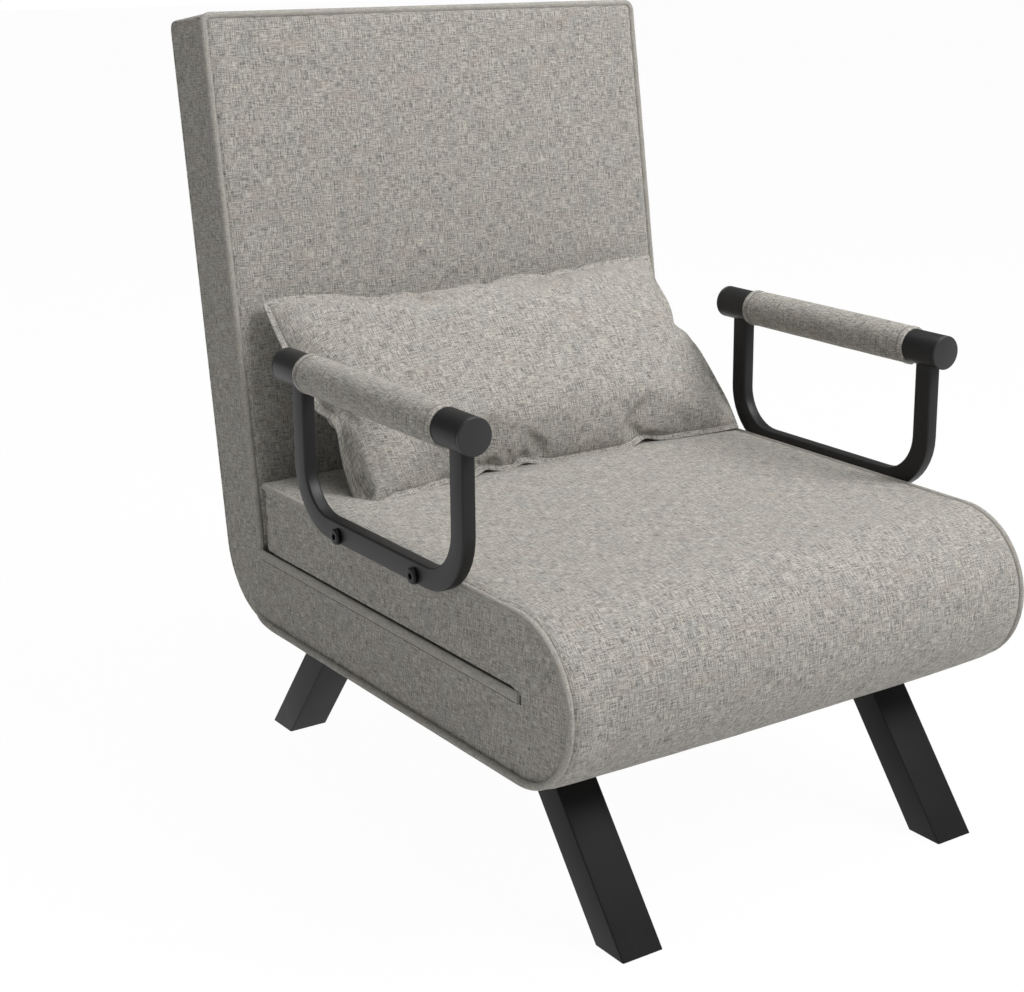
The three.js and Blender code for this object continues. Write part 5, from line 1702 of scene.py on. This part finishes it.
    def sleeve_reach(self, edge: float, swell: float = 0.0) -> float:
        """Radius of the sleeve, with a rounded end, a thicker hem and a dent along its stitches.

        Args:
            edge: distance from the nearer end.
            swell: how far the middle stands out there.

        Returns:
            The radius.
        """
        round_end = 1.7 * MM * max(0.0, 1 - edge / (2.6 * MM)) ** 2
        hem = 0.75 * MM if 1.5 * MM < edge < self.hem - 1.5 * MM else 0.0
        dent = 0.65 * MM * math.exp(-((edge - self.hem) / self.groove) ** 2)
        return self.sleeve_radius - 0.3 * MM + swell + hem - dent - round_end

    def sleeve(self) -> bpy.types.Object:
        """The padded sleeve with a turned hem at each end.

        Returns:
            The sleeve.
        """
        stations = []
        count = 58
        for k in range(count + 1):
            share = k / count
            along = (share - 0.5) * self.sleeve_length
            edge = self.sleeve_length / 2 - abs(along)
            stations.append((along, self.sleeve_reach(edge, 0.5 * MM * (1 - (2 * share - 1) ** 4))))
        for end in SIDES:
            for edge in (0.6 * MM, 1.6 * MM, 3.0 * MM, 6.4 * MM, self.hem, 9.6 * MM):
                stations.append((end * (self.sleeve_length / 2 - edge), self.sleeve_reach(edge)))
        stations.sort()
        cloth = Cloth()
        sides = 52
        axis = self.datum.place(self.side * self.tube_x, self.sleeve_middle, self.tube_z)
        profile = stations + [(stations[-1][0], self.tube_radius), (stations[0][0], self.tube_radius)]
        for along, radius in profile:
            for n in range(sides):
                turn = 2 * math.pi * n / sides
                out = radius
                if radius > self.tube_radius:
                    round_it = (math.cos(turn) * 1.3, math.sin(turn) * 1.3 + self.side)
                    under = abs(((turn - 1.5 * math.pi + math.pi) % (2 * math.pi)) - math.pi)
                    out += 0.3 * MM * noise.noise(Vector((along * 28, *round_it)))
                    out += 0.9 * MM * math.exp(-(under / 0.11) ** 2)
                cloth.points.append(axis + Vector((out * math.cos(turn), -along, out * math.sin(turn))))
        girth = 2 * math.pi * self.sleeve_radius / sides
        size = len(profile)
        for k in range(size):
            m = (k + 1) % size
            a, b = profile[k][0], profile[m][0]
            for n in range(sides):
                o = (n + 1) % sides
                cloth.face(
                    (k * sides + n, m * sides + n, m * sides + o, k * sides + o),
                    ((n * girth, a), (n * girth, b), ((n + 1) * girth, b), ((n + 1) * girth, a)),
                )
        sleeve = cloth.mesh(f"arm_sleeve_{self.word}_cover", self.finishes.cloth, 50.0)
        return sleeve

    def thread(self) -> bpy.types.Object:
        """A row of stitches round each hem of the sleeve.

        Returns:
            The stitches in one piece.
        """
        stitches = Cloth()
        axis = self.datum.place(self.side * self.tube_x, self.sleeve_middle, self.tube_z)
        radius = self.sleeve_radius - 0.25 * MM
        for end in SIDES:
            along = end * (self.sleeve_length / 2 - self.hem)
            for k in range(self.stitches):
                path = []
                for share, lift in ((0.0, -0.5), (0.2, 0.12), (0.5, 0.22), (0.8, 0.12), (1.0, -0.5)):
                    turn = 2 * math.pi * (k + 0.68 * share) / self.stitches
                    out = radius + lift * MM
                    path.append(axis + Vector((out * math.cos(turn), -along, out * math.sin(turn))))
                stitch = sweep(path, 0.34 * MM, 6)
                first = len(stitches.points)
                stitches.points.extend(stitch.points)
                stitches.faces.extend(tuple(first + c for c in face) for face in stitch.faces)
                stitches.weave.extend(stitch.weave)
        return stitches.mesh(f"arm_stitches_{self.word}", self.finishes.thread, 60.0)

    def build(self) -> List[bpy.types.Object]:
        """Builds the armrest on the seat.

        Returns:
            The pieces.
        """
        bar = self.frame()
        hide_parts(f"arm_frame_{self.word}")
        sleeve, stitches = self.sleeve(), self.thread()
        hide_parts(f"arm_sleeve_{self.word}")
        pieces = [bar, sleeve, stitches]
        for end, start in (("rear", self.tube_rear), ("front", self.tube_front - self.cap)):
            cap = self.rod(f"cap_{end}", start, start + self.cap, self.tube_radius, 1.3 * MM)
            settle(cap, f"end_cap_{end}_{self.word}", self.finishes.plastic, 35.0)
            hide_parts(f"arm_cap_{end}_{self.word}")
            pieces.append(cap)
        for end, u in zip(("rear", "front"), self.bolts):
            bolt = self.bolt(f"button_bolt_{end}_{self.word}", u)
            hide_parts(f"arm_bolt_{end}_{self.word}")
            pieces.append(bolt)
        for piece in pieces:
            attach(piece, "seat")
        return pieces


@dataclass
class Legs:
    """Four slanted legs of rectangular tube, cut level at the floor."""

    finishes: Finishes
    corner: float = 1.8 * MM
    wall: float = 2.0 * MM
    slant: float = math.radians(38)
    recess: float = 13.0 * MM  # of the plug in a foot

    def leg(self, name: str, node: str, lean: float) -> bpy.types.Object:
        """One leg.

        Args:
            name: the piece's name.
            node: the leg in the frame that it stands for.
            lean: 1 where its top lies further back than its foot, -1 the other way.

        Returns:
            The leg.
        """
        low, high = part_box(node)
        rise = high.z - low.z
        shift = rise * math.tan(self.slant)
        depth = high.y - low.y - shift
        foot = low.y if lean > 0 else high.y - depth
        bpy.ops.object.select_all(action="DESELECT")
        bpy.ops.mesh.primitive_plane_add(
            size=1.0, location=((low.x + high.x) / 2, foot + depth / 2, low.z)
        )
        leg = bpy.context.object
        leg.scale = (high.x - low.x, depth, 1.0)
        bpy.ops.object.transform_apply(location=True, rotation=True, scale=True)
        bpy.ops.object.mode_set(mode="EDIT")
        bpy.ops.mesh.select_mode(type="FACE")
        bpy.ops.mesh.select_all(action="SELECT")
        bpy.ops.mesh.bevel(offset=self.corner, segments=6, affect="VERTICES")
        bpy.ops.mesh.select_all(action="SELECT")
        push((0.0, lean * shift, rise))
        bpy.ops.mesh.select_all(action="SELECT")
        bpy.ops.mesh.normals_make_consistent(inside=False)
        select_where(lambda middle, normal: normal.z < -0.9)
        bpy.ops.mesh.inset(thickness=self.wall)
        push((0.0, lean * self.recess * math.tan(self.slant), self.recess))
        bpy.ops.object.mode_set(mode="OBJECT")
        round_edges(leg, 0.35 * MM, 2, 60.0)
        settle(leg, name, self.finishes.leg_coat, 35.0)
        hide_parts(node)
        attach(leg, "base")
        return leg

    def build(self) -> List[bpy.types.Object]:
        """Builds the legs.

        Returns:
            The pieces.
        """
        legs = []
        for end, lean in (("front", 1.0), ("rear", -1.0)):
            for word in ("left", "right"):
                legs.append(self.leg(f"slanted_leg_{end}_{word}", f"leg_{end}_{word}", lean))
        return legs


# Studio


@dataclass
class Studio:
    """Pale floor, soft light and the camera of the photograph."""

    datum: Datum
    focal: float = 68.3
    shift: Place = (-0.0614, -0.0397)
    eye: Tuple[float, float, float] = (-1.3028, 2.0295, 1.0119)  # x, u, z
    yaw: float = math.radians(35.67)
    pitch: float = math.radians(15.49)

    def camera(self) -> None:
        """Makes the camera."""
        data = bpy.data.cameras.new("camera")
        data.lens, data.sensor_width = self.focal, 36.0
        data.shift_x, data.shift_y = self.shift
        data.clip_end = 100.0
        camera = bpy.data.objects.new("camera", data)
        bpy.context.scene.collection.objects.link(camera)
        camera.location = self.datum.place(*self.eye)
        way = Vector((math.sin(self.yaw) * math.cos(self.pitch), math.cos(self.yaw) * math.cos(self.pitch),
                      -math.sin(self.pitch)))
        camera.rotation_mode = "QUATERNION"
        camera.rotation_quaternion = way.to_track_quat("-Z", "Y")
        bpy.context.scene.camera = camera

    def white(self, name: str, colour: float, share: float) -> bpy.types.Material:
        """A white surface that keeps shadows.

        Args:
            name: the material's name.
            colour: its own colour.
            share: how much of it shines white towards the camera and in reflections.

        Returns:
            The material.
        """
        board = Board(name)
        rays = {key: board.add("ShaderNodeLightPath", {}, {}, key)
                for key in ("Is Camera Ray", "Is Glossy Ray", "Is Transmission Ray")}
        seen = rays["Is Camera Ray"].larger(rays["Is Glossy Ray"]).larger(rays["Is Transmission Ray"])
        board.surface(Base_Color=(colour, colour, colour, 1.0), Roughness=0.9, Specular_IOR_Level=0.1)
        glow = board.add("ShaderNodeEmission", {}, {"Color": (1.0, 1.0, 1.0, 1.0), "Strength": 1.0})
        paint = Link(board, board.shader.outputs[0])
        mixed = board.add("ShaderNodeMixShader", {}, {0: seen * share, 1: paint, 2: glow})
        output = next(node for node in board.tree.nodes if node.type == "OUTPUT_MATERIAL")
        board.tree.links.new(mixed.socket, output.inputs["Surface"])
        return board.material

    def light(
        self, name: str, place: Sequence[float], target: Sequence[float], size: float, power: float,
    ) -> None:
        """Adds one soft lamp.

        Args:
            name: its name.
            place: where it hangs.
            target: what it points at.
            size: edge of its square.
            power: in watts.
        """
        data = bpy.data.lights.new(name, "AREA")
        data.shape, data.size, data.energy = "SQUARE", size, power
        lamp = bpy.data.objects.new(name, data)
        bpy.context.scene.collection.objects.link(lamp)
        lamp.location = place
        lamp.rotation_mode = "QUATERNION"
        lamp.rotation_quaternion = (Vector(target) - Vector(place)).to_track_quat("-Z", "Y")

    def build(self) -> None:
        """Builds the floor, the lamps, the world and the camera."""
        floor = primitive("plane", size=40.0, location=(0.0, 0.0, 0.0))
        settle(floor, "floor", self.white("pale_floor", 0.85, 0.975))
        self.light("key", (1.8, -2.3, 3.3), (0.0, 0.0, 0.35), 1.9, 148.0)
        self.light("fill", (-3.4, -1.2, 1.7), (0.0, 0.0, 0.4), 2.6, 15.0)
        self.light("top", (0.3, 0.0, 3.6), (0.0, 0.0, 0.4), 2.4, 66.0)
        world = bpy.data.worlds.new("studio")
        bpy.context.scene.world = world
        world.use_nodes = True
        tree = world.node_tree
        tree.nodes.clear()
        path = tree.nodes.new("ShaderNodeLightPath")
        low = tree.nodes.new("ShaderNodeBackground")
        high = tree.nodes.new("ShaderNodeBackground")
        for sky, strength in ((low, 0.235), (high, 1.0)):
            sky.inputs["Color"].default_value = (1.0, 1.0, 1.0, 1.0)
            sky.inputs["Strength"].default_value = strength
        mix = tree.nodes.new("ShaderNodeMixShader")
        output = tree.nodes.new("ShaderNodeOutputWorld")
        tree.links.new(path.outputs["Is Camera Ray"], mix.inputs[0])
        tree.links.new(low.outputs[0], mix.inputs[1])
        tree.links.new(high.outputs[0], mix.inputs[2])
        tree.links.new(mix.outputs[0], output.inputs["Surface"])
        bpy.context.scene.view_settings.view_transform = "Standard"
        self.camera()


def dress_nodes(finishes: Finishes) -> None:
    """Gives every CAD node the finish of its material slot."""
    slots = {entry["node"]: entry["material_slot"] for entry in frame["record"]["subparts"]}
    by_slot = {
        # The steel nodes take the legs' darker coat, whose darkness is painted shade.
        "fabric": finishes.panel_cloth, "lining": finishes.lining, "steel": finishes.leg_coat,
        "bolt": finishes.black_oxide, "plastic": finishes.plastic, "rubber": finishes.rubber,
    }
    for name, node in frame["nodes"].items():
        node.data.materials.clear()
        node.data.materials.append(by_slot[slots[name]])


def main() -> None:
    """Builds the chair bed and its studio in order."""
    logging.basicConfig(level=logging.INFO, format="%(message)s")
    datum = Datum.read()
    finishes = Finishes()
    dress_nodes(finishes)
    mattress = Mattress(datum, finishes)
    assemblies = [
        Pillow(datum, finishes, datum.bed_z + mattress.seat_thick), mattress,
        Arm(datum, finishes, -1.0), Arm(datum, finishes, 1.0), Legs(finishes),
    ]
    for assembly in assemblies:
        for piece in assembly.build():
            log.info("%s: %d faces", piece.name, len(piece.data.polygons))
    Studio(datum).build()


if __name__ == "__main__":
    main()
